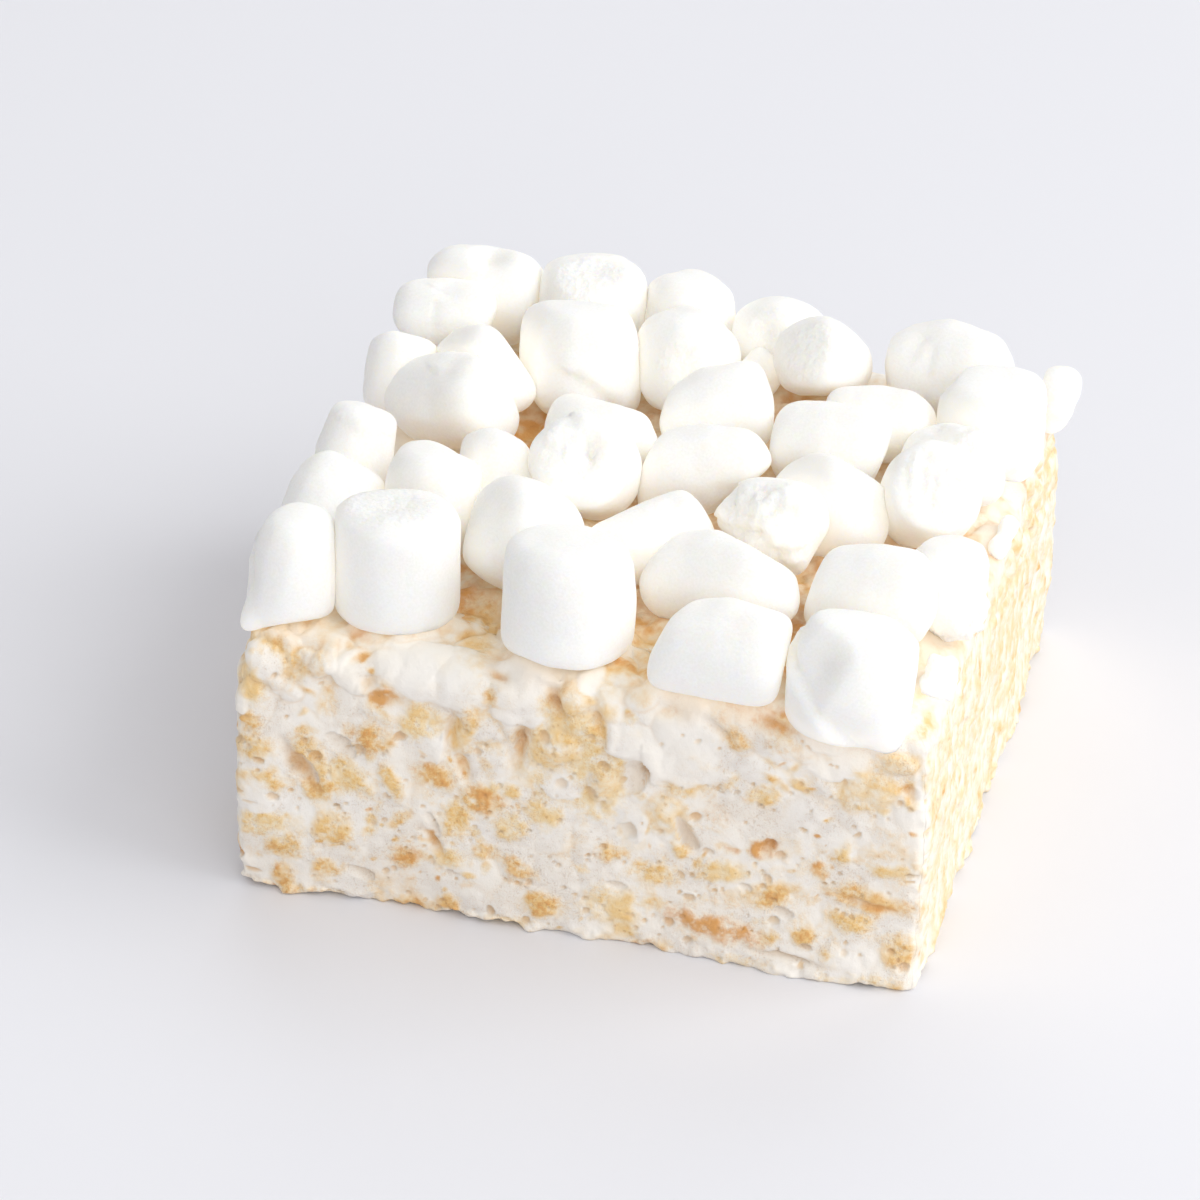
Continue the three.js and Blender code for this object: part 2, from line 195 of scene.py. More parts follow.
def add_piece(name, points, quads, triangles, material, stands_for, marks):
    """Makes a smooth mesh of points in millimetres, and says what it rides on and stands for."""
    mesh = bpy.data.meshes.new(name)
    corners = np.concatenate([np.ravel(quads), np.ravel(triangles)]).astype(np.int32)
    starts = np.concatenate(
        [np.arange(len(quads)) * 4, len(quads) * 4 + np.arange(len(triangles)) * 3]
    ).astype(np.int32)
    mesh.vertices.add(len(points))
    mesh.vertices.foreach_set("co", (points * MM).astype(np.float32).ravel())
    mesh.loops.add(len(corners))
    mesh.loops.foreach_set("vertex_index", corners)
    mesh.polygons.add(len(starts))
    mesh.polygons.foreach_set("loop_start", starts)
    mesh.update(calc_edges=True)
    mesh.validate()
    mesh.shade_smooth()
    for mark, values in marks.items():
        layer = mesh.attributes.new(mark, "FLOAT", "POINT")
        layer.data.foreach_set("value", values.astype(np.float32).ravel())
    mesh.materials.append(material)
    piece = bpy.data.objects.new(name, mesh)
    bpy.context.scene.collection.objects.link(piece)
    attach(piece, "root")
    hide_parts(stands_for)
    return piece


def grid_quads(rows, columns):
    """The quads of a grid of points stored row by row, wound from one column to the next row."""
    index = np.arange(rows * columns).reshape(rows, columns)
    corners = [index[:-1, :-1], index[:-1, 1:], index[1:, 1:], index[1:, :-1]]
    return np.stack(corners, -1).reshape(-1, 4)


# ---------------------------------------------------------------- materials


def new_group(name, inputs, outputs):
    """An empty node group with those named inputs (with defaults) and outputs."""
    group = bpy.data.node_groups.new(name, "ShaderNodeTree")
    for socket, (kind, value) in inputs.items():
        made = group.interface.new_socket(name=socket, in_out="INPUT", socket_type=kind)
        made.default_value = value
    for socket, kind in outputs.items():
        group.interface.new_socket(name=socket, in_out="OUTPUT", socket_type=kind)
    return group, group.nodes.new("NodeGroupInput"), group.nodes.new("NodeGroupOutput")


def feed(tree, target, value):
    """Links a socket to a shader's or node's input, or sets a number or colour on it."""
    if isinstance(value, bpy.types.NodeSocket):
        tree.links.new(value, target)
    else:
        target.default_value = value


def add_node(tree, kind, settings=None, **values):
    """A node of that kind with its settings, and its sockets set or linked by name."""
    node = tree.nodes.new("ShaderNode" + kind)
    for setting, value in (settings or {}).items():
        setattr(node, setting, value)
    for socket, value in values.items():
        wanted = socket.replace("_", " ")
        feed(tree, next(s for s in node.inputs if s.name == wanted and s.enabled), value)
    return node


def add_maths(tree, operation, first, second, clamp=False):
    """One Math node, with numbers or sockets for its two values."""
    node = tree.nodes.new("ShaderNodeMath")
    node.operation = operation
    node.use_clamp = clamp
    for target, value in zip(node.inputs, (first, second)):
        feed(tree, target, value)
    return node.outputs[0]


def times(tree, first, second):
    """The product of two numbers or sockets."""
    return add_maths(tree, "MULTIPLY", first, second)


def plus(tree, first, second):
    """The sum of two numbers or sockets."""
    return add_maths(tree, "ADD", first, second)


def add_mix(tree, share, first, second):
    """A colour between two others."""
    node = tree.nodes.new("ShaderNodeMix")
    node.data_type = "RGBA"
    sockets = [node.inputs["Factor"], node.inputs[6], node.inputs[7]]
    for target, value in zip(sockets, (share, first, second)):
        feed(tree, target, value)
    return node.outputs[2]


def add_range(tree, value, low, high, to_low=0.0, to_high=1.0):
    """A value mapped smoothly from one range to another and held at its ends."""
    node = add_node(
        tree, "MapRange", {"interpolation_type": "SMOOTHSTEP"}, Value=value,
        From_Min=low, From_Max=high, To_Min=to_low, To_Max=to_high,
    )
    return node.outputs["Result"]


def add_mark(tree, mark):
    """The value of a mark that the mesh carries at its points."""
    return add_node(tree, "Attribute", {"attribute_name": mark}).outputs["Fac"]


def rgb(red, green, blue):
    """A colour given as it looks on a screen, from 0 to 255, as the shader's linear numbers."""
    screen = np.array([red, green, blue]) / 255
    linear = np.where(screen <= 0.04045, screen / 12.92, ((screen + 0.055) / 1.055) ** 2.4)
    return (*linear, 1.0)


def starch_group():
    """Fine starch on soft marshmallow: a height of two sizes of grain, the coarse one drawn out
    upwards and stronger where the skin is rough, and a faint cloudiness."""
    group, inside, outside = new_group(
        "starch_dust",
        {"Vector": ("NodeSocketVector", (0, 0, 0)), "Rough": ("NodeSocketFloat", 0.0)},
        {"Height": "NodeSocketFloat", "Cloud": "NodeSocketFloat"},
    )
    where = inside.outputs["Vector"]
    fine = add_node(group, "TexNoise", Vector=where, Scale=3400.0, Detail=1.0, Roughness=0.6)
    drawn = add_node(group, "Mapping", Vector=where, Scale=(1.0, 1.0, 0.4)).outputs["Vector"]
    coarse = add_node(group, "TexNoise", Vector=drawn, Scale=1700.0, Detail=1.0, Roughness=0.5)
    weight = plus(group, times(group, inside.outputs["Rough"], 7.0), 1.4)
    height = plus(group, fine.outputs["Fac"], times(group, coarse.outputs["Fac"], weight))
    group.links.new(height, outside.inputs["Height"])
    group.links.new(add_range(group, fine.outputs["Fac"], 0.3, 0.7), outside.inputs["Cloud"])
    return group


def new_material(name, **values):
    """A node material with a Principled shader, and numbers set on the shader's own sockets."""
    material = bpy.data.materials.new(name)
    material.use_nodes = True
    shader = material.node_tree.nodes["Principled BSDF"]
    for socket, value in values.items():
        shader.inputs[socket.replace("_", " ")].default_value = value
    return material, material.node_tree, shader


def marshmallow_material():
    """White, matt and soft: light passes a little way in, and fine starch roughens the skin.

    Light also passes from one to the next where they touch, which no single body's scattering
    gives: a painted glow stands for it. The skin emits a faint even glow all over, which lifts
    its shade, and a cream one where the mark close says another marshmallow or the cake's top is
    near.
    """
    material, tree, shader = new_material(
        "marshmallow_skin", Roughness=0.8, Specular_IOR_Level=0.2, Subsurface_Weight=0.9,
        Subsurface_Radius=(1.0, 0.86, 0.66), Subsurface_Scale=0.003, Sheen_Weight=0.35,
        Sheen_Roughness=0.5, Sheen_Tint=(1.0, 0.97, 0.9, 1.0), Emission_Strength=0.17,
    )
    where = add_node(tree, "TexCoord").outputs["Object"]
    starch = add_node(
        tree, "Group", {"node_tree": STARCH}, Vector=where, Rough=add_mark(tree, "rough")
    )
    colour = add_mix(tree, starch.outputs["Cloud"], rgb(248, 247, 242), rgb(252, 251, 247))
    tree.links.new(colour, shader.inputs["Base Color"])
    bump = add_node(tree, "Bump", Height=starch.outputs["Height"], Strength=0.5, Distance=0.0001)
    tree.links.new(bump.outputs["Normal"], shader.inputs["Normal"])
    # Painted glow: faint all over, and cream where another marshmallow or the cake's top is near.
    painted_glow = add_mix(tree, add_mark(tree, "close"), rgb(24, 23, 21), rgb(255, 244, 224))
    tree.links.new(painted_glow, shader.inputs["Emission Color"])
    return material


def sponge_group():
    """Small round pores: one to a cell of a scattered pattern, each cell with its own size of pore.

    Hole is 1 in a pore's middle and 0 outside it.
    """
    group, inside, outside = new_group(
        "sponge_pores",
        {
            "Vector": ("NodeSocketVector", (0, 0, 0)),
            "Cells": ("NodeSocketFloat", 1000.0),
            "Largest": ("NodeSocketFloat", 0.4),
        },
        {"Hole": "NodeSocketFloat"},
    )
    where, scale, largest = (inside.outputs[name] for name in ("Vector", "Cells", "Largest"))
    cells = add_node(group, "TexVoronoi", Vector=where, Scale=scale)
    lot = add_node(group, "SeparateColor", Color=cells.outputs["Color"]).outputs["Red"]
    lot = times(group, add_maths(group, "POWER", lot, 2.5), largest)
    depth = add_maths(group, "SUBTRACT", lot, cells.outputs["Distance"])
    hole = add_maths(group, "MULTIPLY", depth, 9.0, clamp=True)
    group.links.new(hole, outside.inputs["Hole"])
    return group


STARCH = starch_group()
SPONGE = sponge_group()
MARKS = ("crisp", "toast", "pit", "foam", "close")
LAYERS = ("height", *MARKS)


def cake_material():
    """Melted marshmallow over crisped rice.

    The mark crisp says how much rice shows, toast how brown it is and how cream the marshmallow,
    pit how deep in a bubble, crevice or pocket a point lies or how near a marshmallow's foot, and
    foam how frothy and how grey the marshmallow is. Where pit is high the colour is darkened to a
    warm tan: painted shade in hollows and round each marshmallow's foot. A grain of a few tenths
    of a millimetre frays the edge of the rice and mottles it. Pinholes and froth are sunk by the
    bump and darkened to a warmer tone, partly their own and partly painted shade in holes too
    small to model. The mark close adds a painted glow to the glaze beside a marshmallow, which
    stands for the light that the marshmallow passes on.
    """
    material, tree, shader = new_material(
        "cut_cake", Roughness=0.48, Specular_IOR_Level=0.35, Emission_Strength=0.07
    )
    where = add_node(tree, "TexCoord").outputs["Object"]
    crisp, toast, pit, foam, close = (add_mark(tree, mark) for mark in MARKS)
    frayed = add_node(tree, "TexNoise", Vector=where, Scale=2200.0, Detail=2.0, Roughness=0.6)
    fray = add_range(tree, frayed.outputs["Fac"], 0.3, 0.7, -0.5, 0.5)
    froth = add_node(tree, "TexNoise", Vector=where, Scale=5600.0, Detail=1.0, Roughness=0.6)
    froth = times(tree, add_range(tree, froth.outputs["Fac"], 0.5, 0.74), foam)
    sponge = add_node(
        tree, "Group", {"node_tree": SPONGE}, Vector=where, Cells=1900.0, Largest=0.42
    )

    fray = times(tree, fray, add_range(tree, foam, 0.0, 0.6, 0.3, 1.0))
    shown = add_range(tree, plus(tree, crisp, times(tree, fray, 0.24)), 0.0, 1.1)
    rice = times(tree, shown, add_range(tree, crisp, 0.0, 0.3))
    pinhole = times(tree, sponge.outputs["Hole"], add_maths(tree, "MAXIMUM", foam, rice))
    film = add_mix(tree, foam, rgb(251, 247, 241), rgb(241, 235, 228))
    film = add_mix(tree, times(tree, toast, 0.5), film, rgb(251, 239, 218))
    tone = plus(tree, plus(tree, toast, times(tree, fray, 0.3)), times(tree, crisp, 0.2))
    ramp = add_node(tree, "ValToRGB", Fac=tone)
    stops = ramp.color_ramp.elements
    stops[0].position, stops[0].color = 0.0, rgb(251, 238, 211)
    stops[1].position, stops[1].color = 1.0, rgb(226, 166, 98)
    for position, colour in ((0.35, rgb(247, 222, 174)), (0.7, rgb(241, 202, 137))):
        stops.new(position).color = colour
    colour = add_mix(tree, rice, film, ramp.outputs["Color"])
    # Pinholes and froth are darkened: partly their own warmer tone, partly painted shade in holes
    # too small to model.
    pinhole_tone_and_shade = add_mix(tree, rice, rgb(224, 196, 170), rgb(208, 152, 94))
    holes = add_maths(tree, "MAXIMUM", times(tree, pinhole, 0.7), froth)
    colour = add_mix(tree, times(tree, holes, 0.42), colour, pinhole_tone_and_shade)
    # Painted shade: hollows and the ring round each marshmallow's foot are darkened to a warm tan.
    deep = add_mix(tree, toast, rgb(240, 218, 184), rgb(224, 174, 110))
    colour = add_mix(tree, pit, colour, deep)
    tree.links.new(colour, shader.inputs["Base Color"])

    coarse = times(tree, frayed.outputs["Fac"], plus(tree, rice, 0.8))
    sunk = plus(tree, pinhole, times(tree, froth, 0.7))
    height = add_maths(tree, "SUBTRACT", coarse, sunk)
    bump = add_node(tree, "Bump", Height=height, Strength=0.55, Distance=0.00014)
    tree.links.new(bump.outputs["Normal"], shader.inputs["Normal"])
    # Painted glow on the glaze beside the marshmallows.
    painted_glow = add_mix(tree, close, rgb(0, 0, 0), rgb(246, 212, 154))
    tree.links.new(painted_glow, shader.inputs["Emission Color"])
    return material


def floor_material():
    """A plain pale board."""
    material, tree, shader = new_material("pale_board", Roughness=0.6, Specular_IOR_Level=0.2)
    where = add_node(tree, "TexCoord").outputs["Object"]
    cloudy = add_node(tree, "TexNoise", Vector=where, Scale=3.0, Detail=1.0)
    colour = add_mix(tree, cloudy.outputs["Fac"], rgb(232, 232, 237), rgb(234, 234, 239))
    tree.links.new(colour, shader.inputs["Base Color"])
    return material


# ---------------------------------------------------------------- the marshmallows

# The points round a body and from pole to pole, the lines of sight that measure its solid, and the
# half angle in radians over which they are averaged.
AROUND, RINGS = 104, 66
SIGHT_COUNT = 1400
SOFTNESS = 0.10


def sight_lines():
    """Directions spread evenly over a sphere, along a spiral that turns by the golden angle."""
    i = np.arange(SIGHT_COUNT) + 0.5
    up = 1 - 2 * i / SIGHT_COUNT
    turn = i * np.pi * (3 - 5**0.5)
    out = np.sqrt(1 - up * up)
    return np.stack([out * np.cos(turn), out * np.sin(turn), up], -1)


def ball_grid():
    """Directions on rings from the lower pole to the upper one, without the poles."""
    polar = np.pi * (1 - np.arange(1, RINGS + 1) / (RINGS + 1))
    turn = 2 * np.pi * np.arange(AROUND) / AROUND
    polar, turn = np.meshgrid(polar, turn, indexing="ij")
    return np.stack([np.sin(polar) * np.cos(turn), np.sin(polar) * np.sin(turn), np.cos(polar)], -1)


SIGHTS = sight_lines()
BALL = np.concatenate([ball_grid().reshape(-1, 3), -UP[None], UP[None]])
SOFTEN = np.exp((BALL @ SIGHTS.T - 1) / SOFTNESS**2)
SOFTEN /= SOFTEN.sum(1, keepdims=True)


def loose_triangles(node):
    """The corners of a CAD node's triangles, in millimetres."""
    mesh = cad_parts[node].data
    mesh.calc_loop_triangles()
    places = np.empty(len(mesh.vertices) * 3)
    mesh.vertices.foreach_get("co", places)
    corners = np.empty(len(mesh.loop_triangles) * 3, np.int32)
    mesh.loop_triangles.foreach_get("vertices", corners)
    return places.reshape(-1, 3)[corners.reshape(-1, 3)] / MM


def reach_from(middle, triangles, ways):
    """How far each direction runs from the middle to the farthest triangle that it meets.

    A ray meets a triangle where its two edge coordinates are positive and add up to less than one.
    """
    first = triangles[:, 0] - middle
    edge_a = triangles[:, 1] - triangles[:, 0]
    edge_b = triangles[:, 2] - triangles[:, 0]
    across = np.cross(ways[:, None], edge_b[None])
    size = (across * edge_a).sum(-1)
    size = np.where(np.abs(size) < 1e-9, 1e-9, size)
    share_a = (across * -first[None]).sum(-1) / size
    turned = np.cross(-first, edge_a)
    share_b = (turned[None] * ways[:, None]).sum(-1) / size
    run = (turned * edge_b).sum(-1)[None] / size
    hit = (share_a > -1e-4) & (share_b > -1e-4) & (share_a + share_b < 1.0002) & (run > 0)
    return np.where(hit, run, 0).max(1)


# What single marshmallows show, by number. Ways from the middle are in degrees round from +X and
# degrees above level, and sizes in millimetres.

# Creases: the ways one runs through, its width and depth, and how much the skin on its left stands
# above that on its right.
CREASES = {
    1: [([(-175, 30), (-160, 15), (-150, 0)], 0.6, 0.2, -0.3)],
    5: [
        ([(175, 30), (-170, 22), (-142, 18), (-118, 5), (-100, -12), (-88, -28)], 0.55, 0.5, -0.55),
    ],
    8: [
        ([(-112, 20), (-104, 0), (-104, -15)], 0.5, 0.25, 0.0),
        ([(-98, 18), (-94, -5)], 0.5, 0.2, 0.0),
    ],
    13: [([(-110, 62), (-75, 50), (-40, 46)], 0.6, 0.2, 0.2)],
    15: [
        ([(-125, 74), (-88, 62), (-72, 48)], 0.6, 0.35, 0.3),
        ([(-136, 24), (-130, 36), (-118, 52)], 0.6, 0.3, 0.2),
    ],
    17: [
        ([(-172, 0), (-128, 8), (-92, 18), (-72, 0), (-62, -22)], 0.6, 0.75, 0.35),
        ([(172, 38), (-142, 34), (-100, 34), (-66, 42)], 0.6, 0.5, 0.4),
        ([(-152, 22), (-112, 20), (-84, 8)], 0.5, 0.3, 0.2),
    ],
    20: [([(-150, 62), (-115, 58), (-82, 62)], 0.7, 0.15, 0.1)],
    26: [([(-150, 22), (-116, 34), (-88, 32)], 0.6, 0.25, 0.2)],
    27: [([(-80, 8), (-66, 0), (-55, -10), (-48, -18)], 0.7, 0.45, 0.4)],
    31: [
        ([(-122, 78), (-55, 66), (-25, 52)], 0.6, 0.2, 0.1),
        ([(-100, 50), (-96, 20)], 0.6, 0.2, 0.0),
    ],
    37: [([(-142, 52), (-134, 28)], 0.6, 0.2, 0.0), ([(-112, 48), (-106, 18)], 0.6, 0.25, 0.0)],
}

# Straight sides and a flat end: the way the axis faces, and how far it is drawn to a barrel.
BARRELS = {
    2: (100, 84, 0.9), 3: (100, 80, 0.5), 5: (12, -5, 0.7), 12: (100, 75, 0.6),
    15: (-95, 38, 0.6), 19: (-70, 45, 0.7), 27: (100, 80, 0.5), 28: (-85, 25, 0.5),
    30: (100, 85, 0.7), 33: (-85, 70, 0.6), 35: (-100, 35, 0.5), 36: (-105, 40, 0.6),
}

# Ends whose skin is coarse: the way to the middle, the half angle, how far the rim stands up and
# how deep the skin is wrinkled.
ROUGH_ENDS = {
    2: (150, 82, 44, 0.1, 0.1), 12: (-30, -45, 54, 0.0, 0.9), 15: (-98, 44, 38, 0.35, 0.5),
    17: (-95, 28, 62, 0.1, 0.7), 19: (-70, 45, 42, 0.25, 0.5), 24: (-35, 35, 46, 0.1, 0.7),
    28: (-85, 22, 30, 0.15, 0.1), 33: (-85, 62, 42, 0.15, 0.1), 35: (-100, 35, 34, 0.1, 0.15),
    36: (-102, 40, 38, 0.2, 0.15),
}

# Dents and, where the depth is below zero, bumps: the way to the middle, the half angle, the depth.
DENTS = {
    1: [(-135, -40, 18, -1.1), (-175, 20, 14, 0.5)], 2: [(150, 84, 34, 0.3)],
    5: [(-118, 38, 38, 0.7), (-25, -45, 22, -0.9)], 9: [(10, 60, 16, 0.5)],
    10: [(-18, -8, 24, -1.1)],
    12: [(-50, -60, 18, -0.7), (10, -30, 16, -0.4), (-20, 20, 14, -0.4)],
    15: [(-62, 58, 26, 1.0), (-120, 50, 14, -0.4)], 17: [(-60, 30, 20, 0.5)],
    19: [(-75, 50, 24, 0.3)], 20: [(-60, 80, 30, 0.4)], 24: [(165, 55, 20, 0.6)],
    28: [(-80, 25, 26, 0.4)],
    32: [(-45, 74, 30, 1.5)], 33: [(-80, 70, 36, 0.4)], 35: [(-100, 32, 24, 0.6)],
    36: [(-105, 42, 30, 0.4)],
    38: [(10, -35, 44, 1.1), (-165, -74, 46, -2.1)], 39: [(-120, -30, 26, -0.6)],
}

# Scraps: the way one is drawn out, how much thinner it is across, how ball-like and how torn.
SCRAPS = {38: (60, 78, 0.3, 0.5, 0.15), 39: (84, 70, 0.25, 0.5, 1), 40: (95, 5, 0.4, 0, 1)}


def angle_from(turn, above):
    """How many degrees every direction of the ball grid is from one way."""
    return np.degrees(np.arccos(np.clip(BALL @ way_to(turn, above), -1, 1)))


def press_barrel(reach, turn, above, share):
    """Draws a body's reach towards a barrel about an axis, whose half length and radius are the
    body's own: the ninth powers of the two shares of the way add up to one."""
    along = np.abs(BALL @ way_to(turn, above))
    across = np.sqrt(np.clip(1 - along * along, 0, 1))
    half = reach[along > 0.96].mean()
    radius = reach[along < 0.12].mean()
    barrel = ((along / half) ** 9 + (across / radius) ** 9) ** (-1 / 9)
    return reach + share * np.clip(barrel - reach, -1.2, 0.7)


def closeness(points, gap, own_node):
    """How near points are to the marshmallows but their own: 1 where one touches. gap is how far
    they are from the cake. Each marshmallow counts as the ellipsoid that fills its box."""
    for node in MARSHMALLOW_NODES:
        if node == own_node:
            continue
        low, high = node_box(node)
        half = (high - low) / 2
        far = np.linalg.norm((points - (low + high) / 2) / half, axis=1) - 1
        gap = np.minimum(gap, far * half.min())
    return np.exp(-np.clip(gap, 0, None) / CLOSE_REACH)


def press_crease(path, width, depth, lip, size):
    """The height of one crease at every direction: a groove with the nearest distance to the path
    as its section, and a step beside it that fades out within three millimetres."""
    corners = np.array([way_to(*way) for way in path])
    nearest = np.full(len(BALL), 9.0)
    side = np.zeros(len(BALL))
    for start, end in zip(corners[:-1], corners[1:]):
        run = end - start
        share = np.clip((BALL - start) @ run / (run @ run), 0, 1)
        far = np.linalg.norm(BALL - start - share[:, None] * run, axis=1)
        closer = far < nearest
        nearest = np.where(closer, far, nearest)
        side = np.where(closer, np.sign(BALL @ np.cross(start, end)), side)
    far = nearest * size
    groove = -depth * np.exp(-((far / width) ** 2))
    return groove + lip * side * np.tanh(far / width) * np.exp(-((far / 2.2) ** 2))


def shape_marshmallow(node):
    """The points of one marshmallow on the ball grid, and how rough its skin is at each.

    Its reach in each direction is the CAD solid's, averaged over a small cone so that the facets
    melt together. A barrel, waves, wrinkles, dents and creases are added along the direction.
    """
    number = int(node.split("_")[1])
    dice = np.random.default_rng(700 + number)
    triangles = loose_triangles(node)
    middle = (triangles.reshape(-1, 3).min(0) + triangles.reshape(-1, 3).max(0)) / 2
    reach = SOFTEN @ reach_from(middle, triangles, SIGHTS)
    size = reach.mean()
    if number in BARRELS:
        reach = press_barrel(reach, *BARRELS[number])
    if number in SCRAPS:
        turn, above, thin, round_share, torn = SCRAPS[number]
        reach += round_share * (reach.mean() - reach)
        reach *= 1 - thin * (1 - (BALL @ way_to(turn, above)) ** 2)
    body = middle + BALL * reach[:, None]
    rough = np.zeros(len(BALL))
    waves = 0.13 * cloud(body, 3.6, 20 + number) + 0.05 * cloud(body, 1.7, 80 + number)
    waves += 0.03 * cloud(body * [1, 1, 0.3], 0.8, 140)
    if number in ROUGH_ENDS:
        turn, above, half, rim, wrinkle = ROUGH_ENDS[number]
        off = angle_from(turn, above)
        rough = ease(half, half * 0.7, off)
        waves += rim * (np.exp(-(((off - half) / 7) ** 2)) - ease(half, half * 0.3, off))
        folds = 0.4 - 1.2 * np.abs(cloud(body, 1.5, 170 + number)) + 0.6 * cloud(body, 0.95, 160)
        waves += wrinkle * rough * folds
    if number in SCRAPS:
        waves += torn * (0.8 * cloud(body, 1.3, 190 + number) + 0.4 * cloud(body, 0.6, 150) - 0.3)
    dents = list(DENTS.get(number, []))
    for _ in range(3):
        dents.append((dice.uniform(-180, 180), dice.uniform(-40, 80), 30, dice.uniform(0, 0.3)))
    for turn, above, half, depth in dents:
        waves -= depth * ease(half, 0, angle_from(turn, above))
    for path, width, depth, lip in CREASES.get(number, []):
        waves += press_crease(path, width, depth, lip, size)
    grow = 0.16 + 0.012 * size
    return body + BALL * (grow + waves * min(1, size / 5))[:, None], rough


def make_marshmallow(node, material):
    """A soft body in place of one CAD marshmallow: the ball grid's rings, closed at both poles."""
    points, rough = shape_marshmallow(node)
    # How near other bodies are sets where the skin's painted glow is cream.
    close = closeness(points, points[:, 2] - TOP, node)
    count = RINGS * AROUND
    ring = np.arange(AROUND)
    after = (ring + 1) % AROUND
    rows = np.arange(RINGS - 1)[:, None] * AROUND
    quads = np.stack([rows + ring, rows + after, rows + AROUND + after, rows + AROUND + ring], -1)
    low_cap = np.stack([np.full(AROUND, count), after, ring], -1)
    last = (RINGS - 1) * AROUND
    high_cap = np.stack([last + ring, last + after, np.full(AROUND, count + 1)], -1)
    caps = np.concatenate([low_cap, high_cap])
    marks = {"rough": rough, "close": close}
    add_piece(
        f"soft_{node}", points, quads.reshape(-1, 4), caps, material, node, marks
    )


# ---------------------------------------------------------------- the cake's faces


def lean_foot(points):
    """Moves the front face's foot forward by the same humps as the solid's, fading out upwards."""
    x, y, z = points[..., 0], points[..., 1], points[..., 2]
    up = np.clip(1 - z / 12, 0, 1)
    near = np.clip((-y / HALF_DEPTH - 0.8) / 0.16, 0, 1)
    out = sum(far * np.exp(-(((x - at) / half) ** 2)) for at, far, half in FOOT_HUMPS)
    return points - (out * up * up * near)[..., None] * np.array([0.0, 1.0, 0.0])


class Face:
    """One face of the cake: a grid of points with a way out at each, and what is worked into it in
    layers. Most features are stamped on warped points, so that their outlines wander."""

    def __init__(self, points, ways):
        points = lean_foot(points)
        self.points = points
        self.ways = ways
        self.warped = points + 0.45 * drift(points, 2.2, 5) + 0.16 * drift(points, 0.8, 9)
        for layer in LAYERS:
            setattr(self, layer, np.zeros(points.shape[:2]))
        self.row_low, self.row_high = points.min(1), points.max(1)
        self.column_low, self.column_high = points.min(0), points.max(0)

    def window(self, centre, reach):
        """The rows and columns that come within reach of a centre, or none of them."""
        rows = np.flatnonzero(
            ((centre > self.row_low - reach) & (centre < self.row_high + reach)).all(1)
        )
        columns = np.flatnonzero(
            ((centre > self.column_low - reach) & (centre < self.column_high + reach)).all(1)
        )
        if len(rows) < 2 or len(columns) < 2:
            return slice(0), slice(0)
        return slice(rows[0], rows[-1] + 1), slice(columns[0], columns[-1] + 1)

    def around(self, middle, turn, reach):
        """The window within reach of a middle, and where its warped points lie from there along the
        three directions of the turn."""
        window = self.window(middle, reach + WARP_REACH)
        return window, (self.warped[window] - middle) @ turn

    def raise_to(self, layer, window, values):
        """Raises what a layer has in a window to these values, where it is below them."""
        here = getattr(self, layer)[window]
        here[:] = np.maximum(here, values)

    def draw_to(self, layer, window, values, share):
        """Draws what a layer has in a window towards these values, by a share of the difference."""
        here = getattr(self, layer)[window]
        here += (values - here) * share


def section_line():
    """The line from under the foot, up a cut face and over the soft edge.

    Gives how far in each point lies, its height, and its way out's tilt above level: a run under
    the foot, a quarter circle, an upright, a larger quarter circle, and a run inwards over the top.
    """
    low_arc = np.linspace(-np.pi / 2, 0, 5)[1:]
    high_arc = np.linspace(0, np.pi / 2, int(EDGE_ROUND * np.pi / 2 / ROW_STEP))[1:]
    tall = TOP - EDGE_ROUND - FOOT_ROUND
    upright = np.linspace(FOOT_ROUND, TOP - EDGE_ROUND, int(tall / ROW_STEP))[1:]
    under = np.linspace(FOOT_INSET, FOOT_ROUND, 9)
    over = np.linspace(EDGE_ROUND, TOP_INSET, int((TOP_INSET - EDGE_ROUND) / OVER_STEP))[1:]
    inset = [
        under, FOOT_ROUND * (1 - np.cos(low_arc)), 0 * upright,
        EDGE_ROUND * (1 - np.cos(high_arc)), over,
    ]
    height = [
        0 * under, FOOT_ROUND * (1 + np.sin(low_arc)), upright,
        TOP - EDGE_ROUND * (1 - np.sin(high_arc)), 0 * over + TOP,
    ]
    tilt = [0 * under, 0 * low_arc, 0 * upright, high_arc, 0 * over + np.pi / 2]
    return (np.concatenate(part) for part in (inset, height, tilt))


def wall_face(side, step):
    """The grid of one cut face, from corner to corner: the front's, turned by right angles.

    The plan is a superellipse: a point of a square, divided by the length that its two numbers give
    when each is raised to a high power, so the corners are tight curves shared by two faces.
    """
    along = np.linspace(-1, 1, int(2 * HALF_SPAN[side] / step))
    inset, height, tilt = section_line()
    across = -np.ones_like(along)
    for _ in range(side):
        along, across = -across, along
    power = CORNER_POWER
    length = (np.abs(along) ** power + np.abs(across) ** power) ** (1 / power)
    square_x, square_y = along / length, across / length
    way_x = np.sign(square_x) * np.abs(square_x) ** (power - 1)
    way_y = np.sign(square_y) * np.abs(square_y) ** (power - 1)
    long = np.hypot(way_x, way_y)
    x = square_x[None] * (HALF_WIDTH - inset[:, None])
    y = square_y[None] * (HALF_DEPTH - inset[:, None])
    z = np.broadcast_to(height[:, None], x.shape)
    level = np.cos(tilt)[:, None]
    rising = np.broadcast_to(np.sin(tilt)[:, None], x.shape)
    ways = np.stack([level * way_x / long, level * way_y / long, rising], -1)
    return Face(np.stack([x, y, z], -1), ways)


